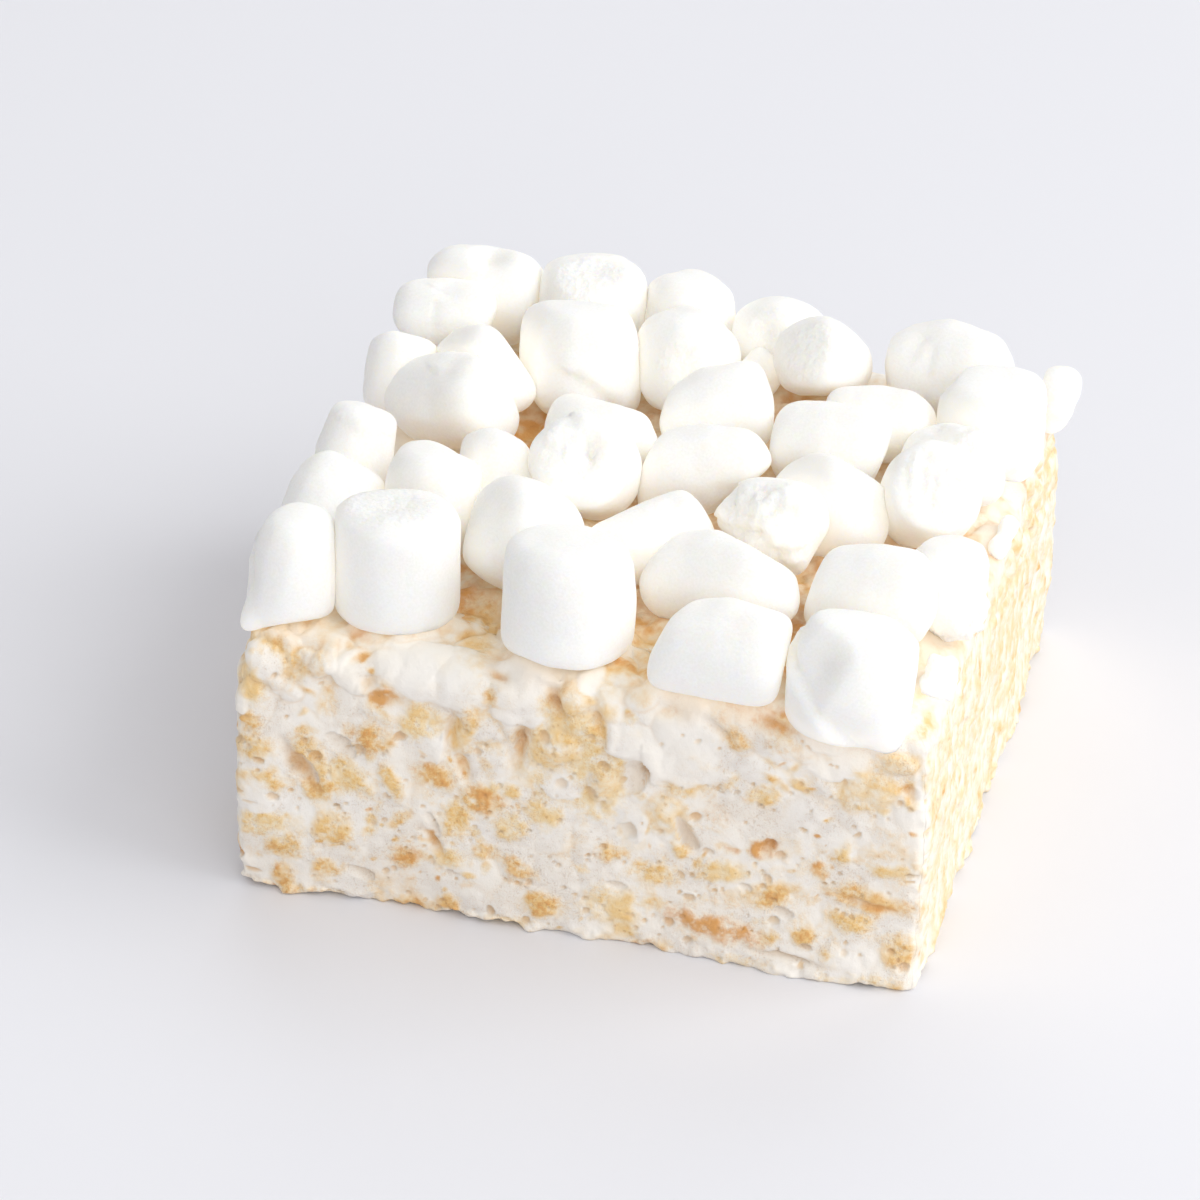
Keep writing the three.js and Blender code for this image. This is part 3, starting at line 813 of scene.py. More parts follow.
def top_face():
    """The level grid that fills the top inside the four faces' upper edges."""
    x = np.linspace(-1, 1, int(2 * HALF_WIDTH / TOP_STEP)) * (HALF_WIDTH - TOP_INSET + TOP_LAP)
    y = np.linspace(-1, 1, int(2 * HALF_DEPTH / TOP_STEP)) * (HALF_DEPTH - TOP_INSET + TOP_LAP)
    y, x = np.meshgrid(y, x, indexing="ij")
    points = np.stack([x, y, np.full_like(x, TOP)], -1)
    return Face(points, np.broadcast_to(UP, points.shape))


def seat(side, along, up, out=0.0, slant=0.0):
    """Where something sits on a cut face: its middle in space, from how far along to the right of
    the face's middle, up from the foot and out it is, and its three directions in columns: along
    and across it, turned by the slant, and out of the face."""
    slant = np.radians(slant)
    right, outward = RIGHTWARD[side], OUTWARD[side]
    middle = right * along + outward * (FACE_OUT[side] + out) + UP * up
    turned = right * np.cos(slant) + UP * np.sin(slant)
    return middle, np.stack([turned, np.cross(outward, turned), outward], -1)


def press_grain(face, middle, turn, half, toast, proud, strength):
    """A cut grain: the section of an ellipsoid, solid in its middle, that fades out in a pale halo.
    It stands proud of the face by so many millimetres, or lies below it."""
    window, apart = face.around(middle, turn, max(half) * 2)
    far = np.sqrt(((apart / half) ** 2).sum(-1))
    inside = ease(1.3, 0.45, far)
    face.raise_to("crisp", window, strength * (0.7 * inside + 0.3 * ease(2.0, 0.9, far)))
    face.draw_to("toast", window, toast, ease(1.7, 0.8, far))
    face.height[window] += proud * inside


def press_lump(face, middle, turn, half, rise, crisp, toast):
    """A whole grain under the film: a low dome joined softly to what is there. It leaves alone what
    is over 3 mm above or below it."""
    window, apart = face.around(middle, turn, max(half) * 1.2)
    square = ((apart[..., :2] / half[:2]) ** 2).sum(-1)
    square = np.where(np.abs(apart[..., 2]) < 3, square, 9.0)
    square *= 1 + 0.35 * cloud(face.points[window], 1.5, 56)
    before = face.height[window]
    dome = 0.4 * before + rise * (np.sqrt(np.clip(1 - square, 0, 1)) - 0.3)
    raised = soft_max(before, dome, 0.45 * rise)
    face.draw_to("height", window, raised, ease(1.15, 0.9, square))
    # Painted shade in the groove round the dome.
    groove = np.exp(-(((np.sqrt(square) - 1.08) / 0.14) ** 2))
    face.raise_to("pit", window, 0.3 * groove)
    inside = ease(1.1, 0.5, square)
    face.draw_to("crisp", window, crisp, 0.8 * inside)
    face.draw_to("toast", window, toast, inside)


def press_pad(face, middle, turn, half, rise):
    """A smooth lobe of melted marshmallow: a mound with a steep lower rim and a long slope above
    it, that hides the rice and most pinholes under it."""
    window, apart = face.around(middle, turn, max(half[0] * 1.3, half[1] * 3.6))
    above = apart[..., 1] > 0
    apart[..., 1] = np.where(above, apart[..., 1] * 0.3, apart[..., 1])
    square = ((apart[..., :2] / half[:2]) ** 2).sum(-1)
    square = np.where(np.abs(apart[..., 2]) < 4, square, 9.0)
    square *= 1 + 0.28 * cloud(face.points[window], 2.4, 55)
    slope = 1 - 0.75 * ease(0, 1, apart[..., 1] / half[1])
    before = face.height[window]
    mound = 0.45 * before + rise * slope * (np.sqrt(np.clip(1 - square**1.5, 0, 1)) - 0.2)
    inside = ease(1.1, np.where(above, 0.1, 0.6), square)
    face.draw_to("height", window, soft_max(before, mound, 1.2 * rise), inside)
    face.crisp[window] *= 1 - 0.8 * inside
    face.foam[window] *= 1 - 0.55 * inside
    face.pit[window] *= 1 - inside


def press_valley(face, middle, turn, half, depth, pit, crisp, toast):
    """A crevice between lumps: a long hollow with the section of a bell, rice in its bottom, and
    painted shade along it.
    """
    window, apart = face.around(middle, turn, max(half) * 2.2)
    apart /= half
    bell = np.exp(-(apart[..., 0] ** 2 + apart[..., 1] ** 2)) * (np.abs(apart[..., 2]) < 5)
    face.height[window] -= depth * bell
    face.raise_to("pit", window, pit * bell)
    face.raise_to("crisp", window, crisp * ease(0.15, 0.8, bell))
    face.draw_to("toast", window, toast, bell)


def press_bubble(face, middle, turn, half, depth, dark):
    """A burst bubble: half an ellipsoid sunk below the face with a sharp rim, its inside darkened
    by painted shade as far as dark says.
    """
    window = face.window(middle, max(half) * 1.15)
    apart = (face.points[window] - middle) @ turn
    square = ((apart / half) ** 2).sum(-1)
    bowl = np.sqrt(np.clip(1 - square, 0, 1))
    face.height[window] -= depth * bowl
    face.raise_to("pit", window, dark * ease(0.0, 0.8, bowl))


def press_scoop(face, middle, turn, half, depth, lip):
    """A smooth pocket, deepest beside its sharp lip and fading out away from it, with less rice and
    a little painted shade inside.
    """
    window, apart = face.around(middle, turn, max(half) * 1.3)
    apart /= half
    square = apart[..., 0] ** 2 + apart[..., 1] ** 2
    toward = np.cos(np.radians(lip)) * apart[..., 0] + np.sin(np.radians(lip)) * apart[..., 1]
    near = (np.abs(apart[..., 2]) < 6).astype(float)
    bowl = np.clip(1 - square, 0, 1) ** 0.35 * (0.1 + 0.9 * ease(-1, 0.8, toward)) * near
    face.height[window] -= 1.35 * depth * bowl
    face.crisp[window] *= 1 - ease(0.05, 0.5, bowl)
    face.raise_to("pit", window, 0.25 * bowl)


def press_skirt(face, node):
    """Melted marshmallow that climbs up the foot of one: a soft ring round its footprint."""
    low, high = node_box(node)
    half = (high - low)[:2] / 2 * 0.80
    middle = np.append((low + high)[:2] / 2, TOP)
    window = face.window(middle, max(half) + 3)
    apart = face.warped[window] - middle
    far = np.sqrt(((apart[..., :2] / half) ** 2).sum(-1))
    away = np.clip(far - 1, 0, None) * half.min()
    skirt = np.exp(-((away / 0.9) ** 2)) * ease(3.0, 1.0, np.abs(apart[..., 2]))
    face.height[window] += 0.5 * skirt
    face.crisp[window] *= 1 - 0.3 * skirt
    # Painted shade: the ring is darkened and warmed where the marshmallow meets the top.
    face.pit[window] *= 1 - skirt
    face.raise_to("pit", window, 0.22 * skirt)
    face.toast[window] += 0.15 * skirt


# The larger grains that show on the front face: along, up, length, width, slant in degrees, toast.
FRONT_GRAINS = [
    (-20, 25.5, 2.6, 1.7, 0, 0.9), (-16.5, 23.5, 3.9, 3.5, 20, 0.4), (-25, 15.5, 5.7, 3, -15, 0.5),
    (-27.5, 13.5, 2.1, 1.9, 0, 0.8), (-28.5, 18, 2.1, 1.9, 0, 0.5), (-15, 17, 4.2, 2.8, 10, 0.8),
    (-19.5, 15.5, 3.6, 1.6, -65, 0.6), (-21.5, 20.5, 2.7, 2.5, 0, 0.8), (-12, 24, 6, 1.9, 80, 0.4),
    (-8, 27.5, 4.2, 1.9, 10, 0.9), (-1, 28.5, 3.3, 2.8, 0, 0.3), (-1.5, 23, 7.6, 5.4, 70, 0.25),
    (3, 25.5, 4.5, 2.2, 80, 0.4), (-10, 15.5, 3.6, 2.5, 0, 0.75), (-7.5, 17, 2.7, 1.2, -15, 0.5),
    (-13, 12.5, 3.3, 2.2, 80, 0.5), (-7, 12.5, 2.4, 1.9, 0, 0.4), (-3.5, 14.5, 3.3, 2.8, 0, 0.3),
    (-18, 6.5, 2.7, 2.8, 0, 0.7), (-13.5, 7.5, 3.3, 2.5, 0, 0.4), (-10, 9, 1.5, 1.6, 0, 0.8),
    (-6, 7.5, 3.9, 1.6, -20, 0.7), (-31, 6, 2.4, 1.9, 0, 0.6), (-31, 2, 2.7, 1.9, 90, 0.7),
    (-26.5, 4, 2.1, 1.6, 0, 0.7), (-35.5, 25, 3, 2.5, 90, 0.4), (-35, 20.5, 2.4, 2.5, 0, 0.6),
    (-35, 17.5, 3, 1.9, 0, 0.6), (-34.5, 13.5, 4.5, 1.9, 10, 0.5), (-33.5, 8.5, 3.3, 1.9, 10, 0.5),
    (-26, 9, 2.4, 2.5, 0, 0.6), (-3.5, 3.5, 3.3, 1.9, 0, 0.6), (4, 4.5, 4.5, 3.1, 10, 0.4),
    (3.5, 11, 2.4, 1.9, 0, 0.6), (2, 19, 4.8, 3.7, 80, 0.3), (-13.5, 1.5, 1.8, 1.9, 0, 0.6),
    (11.5, 22, 4.1, 3.2, 0, 0.45), (20.5, 22.5, 2.5, 1.1, -30, 0.6),
    (19.5, 20.5, 2.2, 1.7, 20, 0.6),
    (23, 22.5, 1.9, 1.1, -20, 0.5), (30, 23, 6, 4.3, 10, 0.3), (33, 26.5, 4.1, 2, 5, 0.35),
    (19.5, 14, 2.7, 2.3, 30, 0.9), (25.5, 12.5, 1.4, 1.4, 0, 0.8), (15.5, 10.5, 4.4, 1.7, 5, 0.4),
    (9.5, 16.5, 4.4, 3.7, 80, 0.35), (11, 13.5, 4.1, 1.7, 80, 0.5), (9, 9, 4.4, 2.3, 15, 0.7),
    (20, 8.5, 5.2, 1.7, 15, 0.6), (14.5, 4, 6.3, 2, -5, 1), (30.5, 10, 5.5, 1.7, -8, 0.75),
    (29, 7, 3.3, 1.7, 0, 0.6), (33, 13.5, 3.6, 1.7, 0, 0.5), (28, 15, 2.7, 1.4, 90, 0.5),
    (34, 4.5, 2.4, 2.5, 0, 0.55), (21, 4, 1.9, 1.7, 0, 0.6), (24, 4.5, 1.9, 1.7, 0, 0.6),
]

# The larger pockets on the front face: along, up, length, width, slant, depth, way to the lip.
FRONT_SCOOPS = [
    (-25, 19, 3.6, 2, -50, 1.1, 90), (-23, 3.5, 3.4, 1.5, -15, 0.9, 60),
    (5.6, 20.5, 5.2, 3.2, 60, 1.3, -40), (-15.5, 11.2, 3, 1.1, -60, 0.7, 60),
    (-28.6, 15.8, 4, 1.3, -60, 0.9, 90), (-13, 5.5, 1.7, 0.7, 0, 0.5, 90),
    (4.5, 7, 2, 1.2, 0, 0.7, 90), (22, 7, 2.5, 1.2, -5, 0.8, 90),
    (18, 9, 1.5, 0.9, -15, 0.6, 90), (11.6, 14.4, 4.4, 1.6, -65, 0.8, -60),
    (23.5, 1.8, 3.4, 0.9, -8, 0.6, 90), (5, 14, 2.6, 1.8, 30, 1.2, -30),
]

# The larger lumps of rice under film near the top: along, up, length, width, slant, rise, how much
# rice shows through, toast.
FRONT_LUMPS = [
    (-0.6, 28.4, 3.8, 3.4, 30, 0.9, 0.75, 0.4), (-22, 26.6, 3.6, 2.2, 40, 0.5, 0.3, 0.5),
    (-27, 28.4, 3.4, 2.6, 70, 0.6, 0.45, 0.4), (-2.4, 22.6, 5.4, 3.8, 60, 0.9, 0.7, 0.35),
    (3.5, 24.8, 4, 2.2, 80, 0.6, 0.5, 0.35), (16.5, 26.6, 3.4, 2.4, -20, 0.8, 0.7, 0.5),
    (33, 26.5, 4.2, 2.4, 5, 0.6, 0.6, 0.35), (-12.2, 25.4, 2.6, 4, 10, 0.6, 0.6, 0.5),
    (-31, 25, 3.4, 2.6, -30, 0.5, 0.15, 0.3), (2.5, 19, 4.6, 3.4, 80, 0.7, 0.55, 0.3),
    (22.8, 26.2, 4.2, 2.4, -15, 0.5, 0.3, 0.5), (30, 22.8, 5.6, 4.4, 10, 0.4, 0.5, 0.3),
    (9.4, 17, 4.4, 3.6, 80, 0.5, 0.55, 0.35), (6.5, 29.5, 4.2, 2.2, 20, 0.6, 0.4, 0.4),
]

# The larger smooth lobes of film: along, up, out, length, width, slant, rise.
FRONT_PADS = [
    (-15.6, 28, 0, 11.4, 5.2, -4, 0.34), (-6.5, 26.4, 0, 6, 4.2, -10, 0.6),
    (-25, 27.4, 0, 5.8, 1.8, -42, 0.4), (-36, 22, 0, 2.6, 2, 0, 0.6),
    (-14.6, 20.6, 0, 4.6, 1.5, 80, 0.6), (-2, 17.6, 0, 4.6, 2.2, -10, 0.35),
    (-5, 30.2, -1, 5.6, 1.6, -8, 0.5), (11.6, 23, 0, 8.8, 6, -6, 0.6),
    (4.6, 24, 0, 4.2, 2.6, 10, 0.8), (7.6, 22.4, 0, 5.4, 1.6, -68, 0.9),
    (6.6, 14.6, 0, 4.4, 1.6, 70, 0.4), (25, 28, 0, 5.6, 2.4, -6, 0.6),
    (26, 24.4, 0, 5.6, 1.6, -6, 0.4),
    (-33.5, 11, 0, 4, 2.6, 20, 0.3), (0.5, 29.8, -0.5, 3, 1.6, -20, 0.5),
]

# The larger crevices: along, up, length, width, slant, depth, how much painted shade darkens the
# hollow, how much rice shows, toast.
FRONT_VALLEYS = [
    (-2.6, 28.2, 3.6, 1.3, -75, 1.4, 0.75, 0.3, 0.7), (-6, 22.4, 5, 1.3, 80, 1.2, 0.5, 0.8, 0.8),
    (-22, 27, 2.8, 1.7, -50, 0.9, 0.30, 0.1, 0.5), (-13.2, 22.6, 5.6, 1.3, 85, 0.9, 0.18, 0.1, 0.3),
    (-20.2, 25, 3.8, 1.5, 10, 0.6, 0.30, 0.9, 0.8), (-29.4, 16, 5.4, 1.3, -55, 1, 0.75, 0.5, 0.8),
    (-15.4, 9.4, 3, 0.9, -55, 0.8, 0.75, 0.8, 0.8), (-12, 18.6, 3.2, 1.4, -60, 0.7, 0.18, 0.5, 0.6),
    (-8.4, 29.6, 3.4, 1.2, -20, 0.8, 0.60, 0.5, 0.9),
    (-23.6, 29.4, 2.8, 1.2, 50, 0.5, 0.35, 0.8, 0.7),
    (20.5, 28.8, 6, 1.6, -12, 0.8, 0.60, 0.4, 0.8), (11.6, 14.2, 3.6, 1, -72, 0.7, 0.35, 0.4, 0.5),
    (20, 14.4, 1.8, 1.2, 30, 0.6, 0.50, 0.8, 0.9), (34, 23.4, 2.2, 1.4, -50, 0.5, 0.35, 0.6, 0.7),
    (22.5, 2, 6, 0.6, -5, 0.8, 0.40, 0.2, 0.5), (30.5, 9.4, 5.8, 0.7, -14, 0.5, 0.40, 0.8, 0.7),
    (10, 28.8, 3, 1.4, 20, 0.7, 0.45, 0.5, 0.6), (14.6, 27.4, 3.6, 1, -30, 0.7, 0.35, 0.4, 0.5),
    (1.8, 26.6, 3.4, 0.9, -80, 0.6, 0.35, 0.5, 0.5), (-30, 27.6, 3.4, 0.9, 60, 0.4, 0.20, 0.3, 0.4),
]


def work_front(face):
    """The larger grains, lumps, crevices, pockets and lobes of the front face."""
    dice = np.random.default_rng(12)
    for along, up, length, width, slant, toast in FRONT_GRAINS:
        middle, turn = seat(FRONT, along, up, 0, slant)
        half = np.array([length, width, width]) / 2 * dice.uniform(1.1, 1.8)
        press_grain(face, middle, turn, half, toast * dice.uniform(0.55, 0.95), 0.16, 0.9)
    for along, up, length, width, slant, rise, crisp, toast in FRONT_LUMPS:
        middle, turn = seat(FRONT, along, up, 0, slant)
        half = np.array([length, width, width]) / 2
        press_lump(face, middle, turn, half, 1.35 * rise, crisp, toast)
    for along, up, length, width, slant, depth, pit, crisp, toast in FRONT_VALLEYS:
        middle, turn = seat(FRONT, along, up, 0, slant)
        half = np.array([length, width, 2.0]) / 2
        press_valley(face, middle, turn, half, 1.25 * depth, pit, crisp, toast)
    for along, up, out, length, width, slant, rise in FRONT_PADS:
        middle, turn = seat(FRONT, along, up, out, slant)
        press_pad(face, middle, turn, np.array([length, width, 1]) / 2, rise)
    for along, up, length, width, slant, depth, lip in FRONT_SCOOPS:
        middle, turn = seat(FRONT, along, up, 0, slant)
        press_scoop(face, middle, turn, np.array([length, width, 1]) / 2, depth, lip)


def work_streaks(face, side):
    """The two faces that the knife dragged: upright ribs of film and rice, from a cloud stretched
    upwards, that fade out at the corners, and small upright specks of rice."""
    points = face.points
    across = HALF_SPAN[side] - np.abs(points[..., 1 if side == RIGHT else 0])
    inner = ease(0.2, 2.0, across) * ease(TOP - 1, TOP - 5, points[..., 2])
    long = (points + 0.4 * drift(points, 2.6, 81)) * [1, 1, 0.16]
    rib = cloud(long, 0.8, 82)
    thin = cloud(long, 0.4, 85)
    face.height += inner * (0.1 * rib + 0.07 * thin + 0.1 * cloud(points, 1.2, 87))
    patch = cloud(points * [1, 1, 0.4], 3.0, 88)
    gold = ease(-0.8, 0.9, 0.5 * rib + 0.5 * thin + 0.6 * cloud(points, 1.0, 86) + 0.5 * patch)
    face.crisp += inner * (0.35 * gold + 0.47 - face.crisp * 0.85)
    face.toast += inner * (0.08 + 0.06 * patch - face.toast) * 0.9
    face.foam *= 1 - 0.7 * inner
    face.pit *= 1 - 0.6 * inner
    dice = np.random.default_rng(60 + side)
    for _ in range(STREAK_SPECK_COUNT):
        along, up = dice.uniform(-HALF_DEPTH, HALF_DEPTH), dice.uniform(1, TOP - 2)
        middle, turn = seat(side, along, up, 0, dice.normal(90, 15))
        half = np.array([dice.uniform(0.5, 1.2), dice.uniform(0.25, 0.45), 1.0])
        toast, shown = dice.uniform(0.25, 0.6), dice.uniform(0.6, 0.95)
        press_grain(face, middle, turn, half, toast, 0.08, shown)


def lay_film(face, side):
    """The film over the rice, before anything is pressed into it: long waves, lobes that meet in
    crevices and are strongest near the top, ragged corners and foot, and rice that shows."""
    points = face.points
    near_top = ease(17, 25, points[..., 2])
    edge_x = HALF_WIDTH - np.abs(points[..., 0])
    edge_y = HALF_DEPTH - np.abs(points[..., 1])
    corner = ease(2.6, 0.2, np.maximum(edge_x, edge_y))
    foot = ease(2.2, 0.2, points[..., 2])
    face.height += 0.34 * cloud(points, 9.0, 31) + 0.2 * cloud(points, 4.2, 32)
    seam = seams(face.warped, 4.4, 33)
    strong = (0.25 + 0.75 * near_top) * (0.3 + 0.7 * ease(-0.5, 0.5, cloud(points, 7.0, 34)))
    face.height += strong * (np.sqrt(ease(0, 0.7, seam)) - 0.5)
    # Painted shade in the crevices where the lobes meet.
    face.pit += strong * 0.3 * ease(0.14, 0.0, seam)
    face.crisp += strong * 0.6 * ease(0.35, 0.0, seam) * ease(-0.4, 0.5, cloud(points, 3.4, 39))
    ragged = 0.5 * cloud(points, 1.6, 35) + 0.4 * cloud(points, 0.8, 36)
    face.height += np.maximum(0.5 * corner, foot) * ragged
    face.crisp += 0.42 * ease(-0.2, 0.8, cloud(face.warped, 3.0, 37))
    face.crisp += 0.45 * foot * ease(-0.5, 0.4, cloud(points, 2.6, 57))
    face.toast += 0.4 + 0.35 * cloud(points, 6.0, 38)
    face.foam += 0.15 + 0.75 * ease(-0.5, 0.6, cloud(points, 3.2, 40))
    face.foam *= 1 - 0.7 * corner
    if side is None:
        face.crisp += 0.6
        face.toast += 0.2
    else:
        rim = ease(26, 30, points[..., 2]) * ease(-0.3, 0.4, cloud(face.warped, 3.0, 58))
        face.crisp += 0.3 * rim
        face.toast += 0.2 * rim
    face.foam *= 1 - 0.7 * ease(25, 31, points[..., 2])


def random_place(dice, lowest, highest):
    """A random side, and a random place on it: along from its middle, and up in a range."""
    side = int(dice.integers(4))
    span = HALF_SPAN[side]
    return side, dice.uniform(-span, span), dice.uniform(lowest, highest)


def scatter_grains(face, dice):
    """Cut grains turned every way, fewer on the front, which has its own, and brown specks."""
    for _ in range(GRAIN_COUNT):
        at, along, up = random_place(dice, 0, TOP)
        middle, _ = seat(at, along, up, dice.uniform(-0.8, 0.4))
        length, width = dice.uniform(0.9, 2.4), dice.uniform(0.5, 1.2)
        toast = dice.uniform(0.1, 0.6)
        proud = dice.uniform(-0.12, 0.12)
        turn = random_turn(dice)
        shown = dice.uniform(0.25, 0.8)
        half = np.array([length, width, width * 0.8])
        if at == FRONT and dice.random() < 0.35:
            continue
        press_grain(face, middle, turn, half, toast, proud, shown)
    for _ in range(SPECK_COUNT):
        at, along, up = random_place(dice, 0, TOP - 1)
        middle, turn = seat(at, along, up, 0, dice.normal(0, 40))
        half = np.array([dice.uniform(0.25, 0.7), dice.uniform(0.2, 0.4), 0.8])
        toast, shown = dice.uniform(0.4, 0.9), dice.uniform(0.5, 0.9)
        press_grain(face, middle, turn, half, toast, -0.06, shown)


def scatter_left_grains(face):
    """Larger grains on the left face, about as many and as long as the front's, set at random."""
    dice = np.random.default_rng(63)
    for _ in range(LEFT_GRAIN_COUNT):
        along, up = dice.uniform(-HALF_DEPTH, HALF_DEPTH), dice.uniform(1, TOP - 3)
        middle, turn = seat(LEFT, along, up, 0, dice.normal(0, 35))
        half = np.array([dice.uniform(1.3, 3.2), dice.uniform(0.9, 1.8), 1.2])
        press_grain(face, middle, turn, half, dice.uniform(0.2, 0.7), 0.16, 0.9)


def scatter_lumps(face, dice):
    """Whole grains lying level under the film of the top, paler near the front left, where it is
    thickest, and none within 5 mm of the edge."""
    for _ in range(LUMP_COUNT):
        middle = np.array([dice.uniform(-35, 35), dice.uniform(-35, 35), TOP])
        slant = dice.uniform(0, np.pi)
        turn = np.array(
            [[np.cos(slant), -np.sin(slant), 0], [np.sin(slant), np.cos(slant), 0], [0, 0, 1]]
        )
        half = np.array([dice.uniform(2.0, 3.0), dice.uniform(1.1, 1.5), 1.2])
        rise, shown, toast = dice.uniform(0.5, 1.0), dice.uniform(0.5, 0.9), dice.uniform(0.4, 0.9)
        if max(abs(middle[0]) - HALF_WIDTH, abs(middle[1]) - HALF_DEPTH) > -5:
            continue
        if middle[0] < -4 and middle[1] < 9 - HALF_DEPTH:
            shown *= 0.4
        press_lump(face, middle, turn, half, rise, shown, toast)


def scatter_bubbles(face, dice):
    """Burst bubbles of the film, most of them small, and fewer near the top."""
    for _ in range(BUBBLE_COUNT):
        at, along, up = random_place(dice, 0.3, TOP - 2)
        middle, turn = seat(at, along, up, 0, dice.normal(0, 30))
        radius = min(0.2 * dice.random() ** -0.4, 0.7)
        flat, deep, dark = dice.uniform(0.5, 1.0), dice.uniform(0.7, 1.2), dice.uniform(0.3, 0.9)
        if up > 22 and dice.random() < 0.6:
            continue
        half = np.array([radius, radius * flat, 3.0])
        press_bubble(face, middle, turn, half, radius * deep, dark)


def roughen(face):
    """Fine grain over everything, stronger where rice shows, and how near the marshmallows are."""
    points = face.points
    high = points[..., 2] > 22
    # How near the marshmallows are sets the painted glow on the glaze.
    face.close[high] = closeness(points[high], np.full(high.sum(), 9.0), None)
    grainy = 0.6 * cloud(face.warped, 1.1, 61) + 0.4 * cloud(points, 0.55, 60)
    face.height += 0.09 * grainy * (0.6 + face.crisp)
    face.crisp = np.clip(face.crisp * (1 + 0.7 * grainy) + 0.05 * grainy, 0, 1.2)
    face.toast = np.clip(face.toast + 0.2 * grainy, 0, 1.2)
    frothy = 0.8 * cloud(points, 0.9, 62) + 0.5 * cloud(points, 0.5, 63)
    face.foam = np.clip(face.foam * (1 + frothy), 0, 1)


def work_all(face, side):
    """Works one face of the cake, or its top where the side is None. Every face draws the same
    lots for what all of them have, so what lies across an edge is the same on both sides."""
    dice = np.random.default_rng(41)
    lay_film(face, side)
    scatter_grains(face, dice)
    if side == FRONT:
        work_front(face)
    if side in (RIGHT, BACK):
        work_streaks(face, side)
    if side == LEFT:
        scatter_left_grains(face)
    scatter_lumps(face, dice)
    for node in MARSHMALLOW_NODES:
        press_skirt(face, node)
    scatter_bubbles(face, dice)
    roughen(face)


def finish_face(face):
    """Moves the points out by their height, level near the foot, and keeps them above the board."""
    level = ease(1.5, 0.0, face.points[..., 2])
    rise = 0.7 * ease(0.1, 0.7, cloud(face.points * [1, 1, 0], 3.4, 90)) * level
    points = face.points + face.ways * face.height[..., None]
    points[..., 2] = np.maximum(points[..., 2] + rise, 0)
    return points


# What the cut faces made so far have along each upright corner, row by row.
CORNERS = {}


def join_corners(face, side):
    """Fits a cut face to the ones made before it: along a corner that they share it takes over what
    they have there, and the difference fades out within a short reach."""
    for column, corner in ((0, side), (-1, (side + 1) % 4)):
        apart = face.points - face.points[:, column][:, None]
        share = ease(CORNER_REACH, 0, np.sqrt((apart * apart).sum(-1)))
        for layer in LAYERS:
            values = getattr(face, layer)
            end = CORNERS.setdefault((corner, layer), values[:, column].copy())
            values += share * (end - values[:, column])[:, None]


def make_wall(name, side, step, material):
    """A cut face, worked and fitted to its neighbours. The run under its foot moves level with the
    foot's relief, less and less inwards."""
    face = wall_face(side, step)
    work_all(face, side)
    join_corners(face, side)
    under = np.flatnonzero(face.points[:, 0, 2] == 0)
    plan = face.ways[len(under) + 1]
    inset = np.linspace(FOOT_INSET, FOOT_ROUND, len(under))
    share = ease(FOOT_INSET, FOOT_ROUND, inset)[:, None, None]
    face.ways[under] = plan[None] * share
    points = finish_face(face)
    points[under, :, 2] *= share[..., 0]
    close_face(name, face, points, material)


def close_face(name, face, points, material):
    """Joins a grid's rim to the middle of the cake by a fan, so that the piece is closed, and adds
    it. The fan is shaded flat, so that it doesn't tilt the normals where faces meet."""
    rows, columns = points.shape[:2]
    index = np.arange(rows * columns).reshape(rows, columns)
    rim = np.concatenate([index[0, :-1], index[:-1, -1], index[-1, :0:-1], index[:0:-1, 0]])
    fan = np.stack([np.full(len(rim), rows * columns), np.roll(rim, -1), rim], -1)
    marks = {mark: np.append(getattr(face, mark).ravel(), 0.0) for mark in MARKS}
    everything = np.concatenate([points.reshape(-1, 3), MIDDLE[None]])
    quads = grid_quads(rows, columns)
    piece = add_piece(name, everything, quads, fan, material, "cake", marks)
    on_grid = np.arange(len(quads) + len(fan)) < len(quads)
    piece.data.polygons.foreach_set("use_smooth", on_grid)


def make_top(name, material):
    """The glazed top between the marshmallows: whole grains lying every way under the film."""
    face = top_face()
    work_all(face, None)
    close_face(name, face, finish_face(face), material)


def make_underside(name, material):
    """The flat underside: a level grid inside the faces' lower edges, with rice pressed flat."""
    x = np.linspace(-1, 1, UNDERSIDE_POINTS) * (HALF_WIDTH - FOOT_INSET + 1)
    y = np.linspace(1, -1, UNDERSIDE_POINTS) * (HALF_DEPTH - FOOT_INSET + 1)
    y, x = np.meshgrid(y, x, indexing="ij")
    face = Face(np.stack([x, y, 0 * x], -1), np.broadcast_to(-UP, (*x.shape, 3)))
    face.crisp += ease(-0.1, 0.5, cloud(face.points, 3.0, 71))
    face.toast += 0.5 + 0.4 * cloud(face.points, 5.0, 72)
    close_face(name, face, face.points, material)


# ---------------------------------------------------------------- camera, light and floor


# The camera's place in metres, its turn to the right, up and about its own axis in degrees, and its
# lens in millimetres.
CAMERA_PLACE = (0.1381, -0.6459, 0.4167)
CAMERA_TURN = (-12.61, -31.06, 1.37)
LENS = 217.4

# Each light's place, size and power, and its colour.
LIGHTS = {
    "key": ((1.2, 0.05, 0.95), 1.35, 15.6, (0.985, 0.99, 0.975)),
    "front": ((0.45, -0.85, 0.7), 0.8, 4.1, (1.0, 0.995, 0.985)),
    "left": ((-0.7, -0.7, 0.8), 0.9, 1.5, (0.985, 0.99, 1.0)),
    "back": ((-0.1, 1.1, 0.8), 1.2, 5.0, (0.985, 0.99, 1.0)),
}
LIT_POINT = (0, 0, 0.02)
SKY_COLOUR = (0.975, 0.98, 1.0, 1.0)
SKY_STRENGTH = 0.4
BOARD = 3


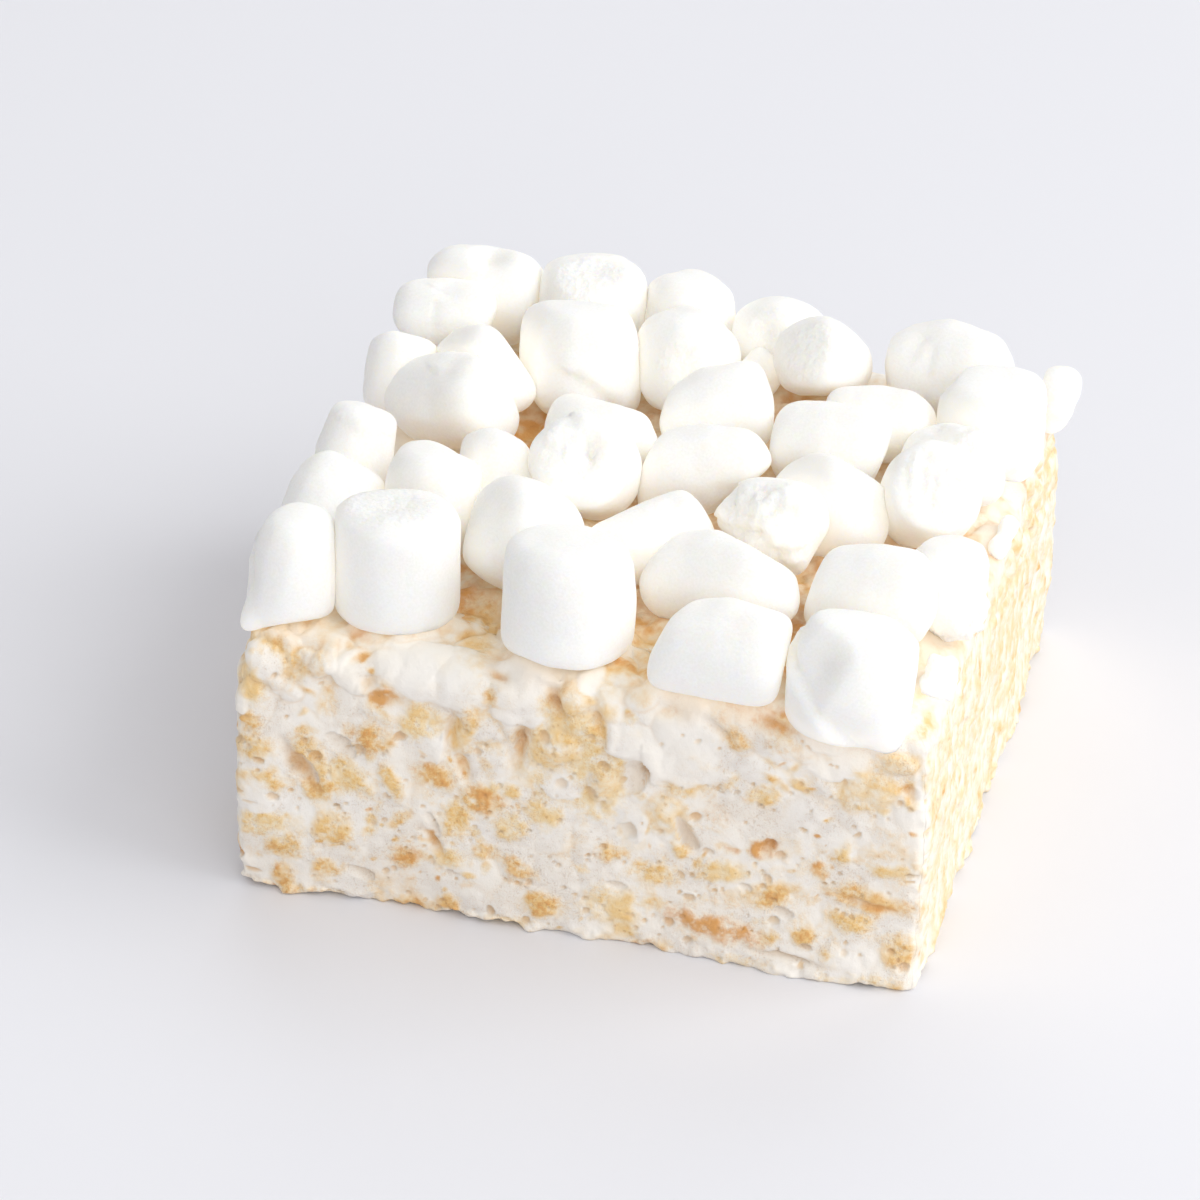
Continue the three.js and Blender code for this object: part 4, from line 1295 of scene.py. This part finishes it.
def aim_camera():
    """A long lens from the front, a little to the right and from above."""
    yaw, pitch, roll = np.radians(CAMERA_TURN)
    ahead = np.array([np.sin(yaw) * np.cos(pitch), np.cos(yaw) * np.cos(pitch), np.sin(pitch)])
    right = np.cross(ahead, UP)
    right /= np.linalg.norm(right)
    up = np.cross(right, ahead)
    right, up = (
        right * np.cos(roll) + up * np.sin(roll),
        up * np.cos(roll) - right * np.sin(roll),
    )
    data = bpy.data.cameras.new("camera")
    data.sensor_width = 36
    data.lens = LENS
    data.clip_start = 0.01
    data.clip_end = 10
    camera = bpy.data.objects.new("camera", data)
    turn = Matrix(np.stack([right, up, -ahead], -1).tolist()).to_4x4()
    camera.matrix_world = Matrix.Translation(Vector(CAMERA_PLACE)) @ turn
    bpy.context.scene.collection.objects.link(camera)
    bpy.context.scene.camera = camera


def add_light(name, place, size, power, colour):
    """A square soft light that faces the cake."""
    data = bpy.data.lights.new(name, "AREA")
    data.size = size
    data.energy = power
    data.color = colour
    light = bpy.data.objects.new(name, data)
    light.location = place
    light.rotation_euler = (Vector(LIT_POINT) - Vector(place)).to_track_quat("-Z", "Y").to_euler()
    bpy.context.scene.collection.objects.link(light)


def set_stage():
    """A pale board under an even sky, a large soft light on the right and three weaker ones."""
    mesh = bpy.data.meshes.new("board")
    corners = [(BOARD * x, BOARD * y, 0) for x, y in ((-1, -1), (1, -1), (1, 1), (-1, 1))]
    mesh.from_pydata(corners, [], [(0, 1, 2, 3)])
    mesh.materials.append(floor_material())
    board = bpy.data.objects.new("board", mesh)
    bpy.context.scene.collection.objects.link(board)
    world = bpy.data.worlds.new("sky")
    bpy.context.scene.world = world
    world.use_nodes = True
    sky = world.node_tree.nodes["Background"]
    sky.inputs["Color"].default_value = SKY_COLOUR
    sky.inputs["Strength"].default_value = SKY_STRENGTH
    for name, light in LIGHTS.items():
        add_light(name, *light)
    bpy.context.scene.view_settings.view_transform = "Standard"


# ---------------------------------------------------------------- making it all

aim_camera()
set_stage()

skin = marshmallow_material()
for node in MARSHMALLOW_NODES:
    make_marshmallow(node, skin)

cut = cake_material()
make_wall("front_face", FRONT, FRONT_STEP, cut)
make_wall("right_face", RIGHT, SIDE_STEP, cut)
make_wall("back_face", BACK, SIDE_STEP, cut)
make_wall("left_face", LEFT, SIDE_STEP, cut)
make_top("glazed_top", cut)
make_underside("underside", cut)
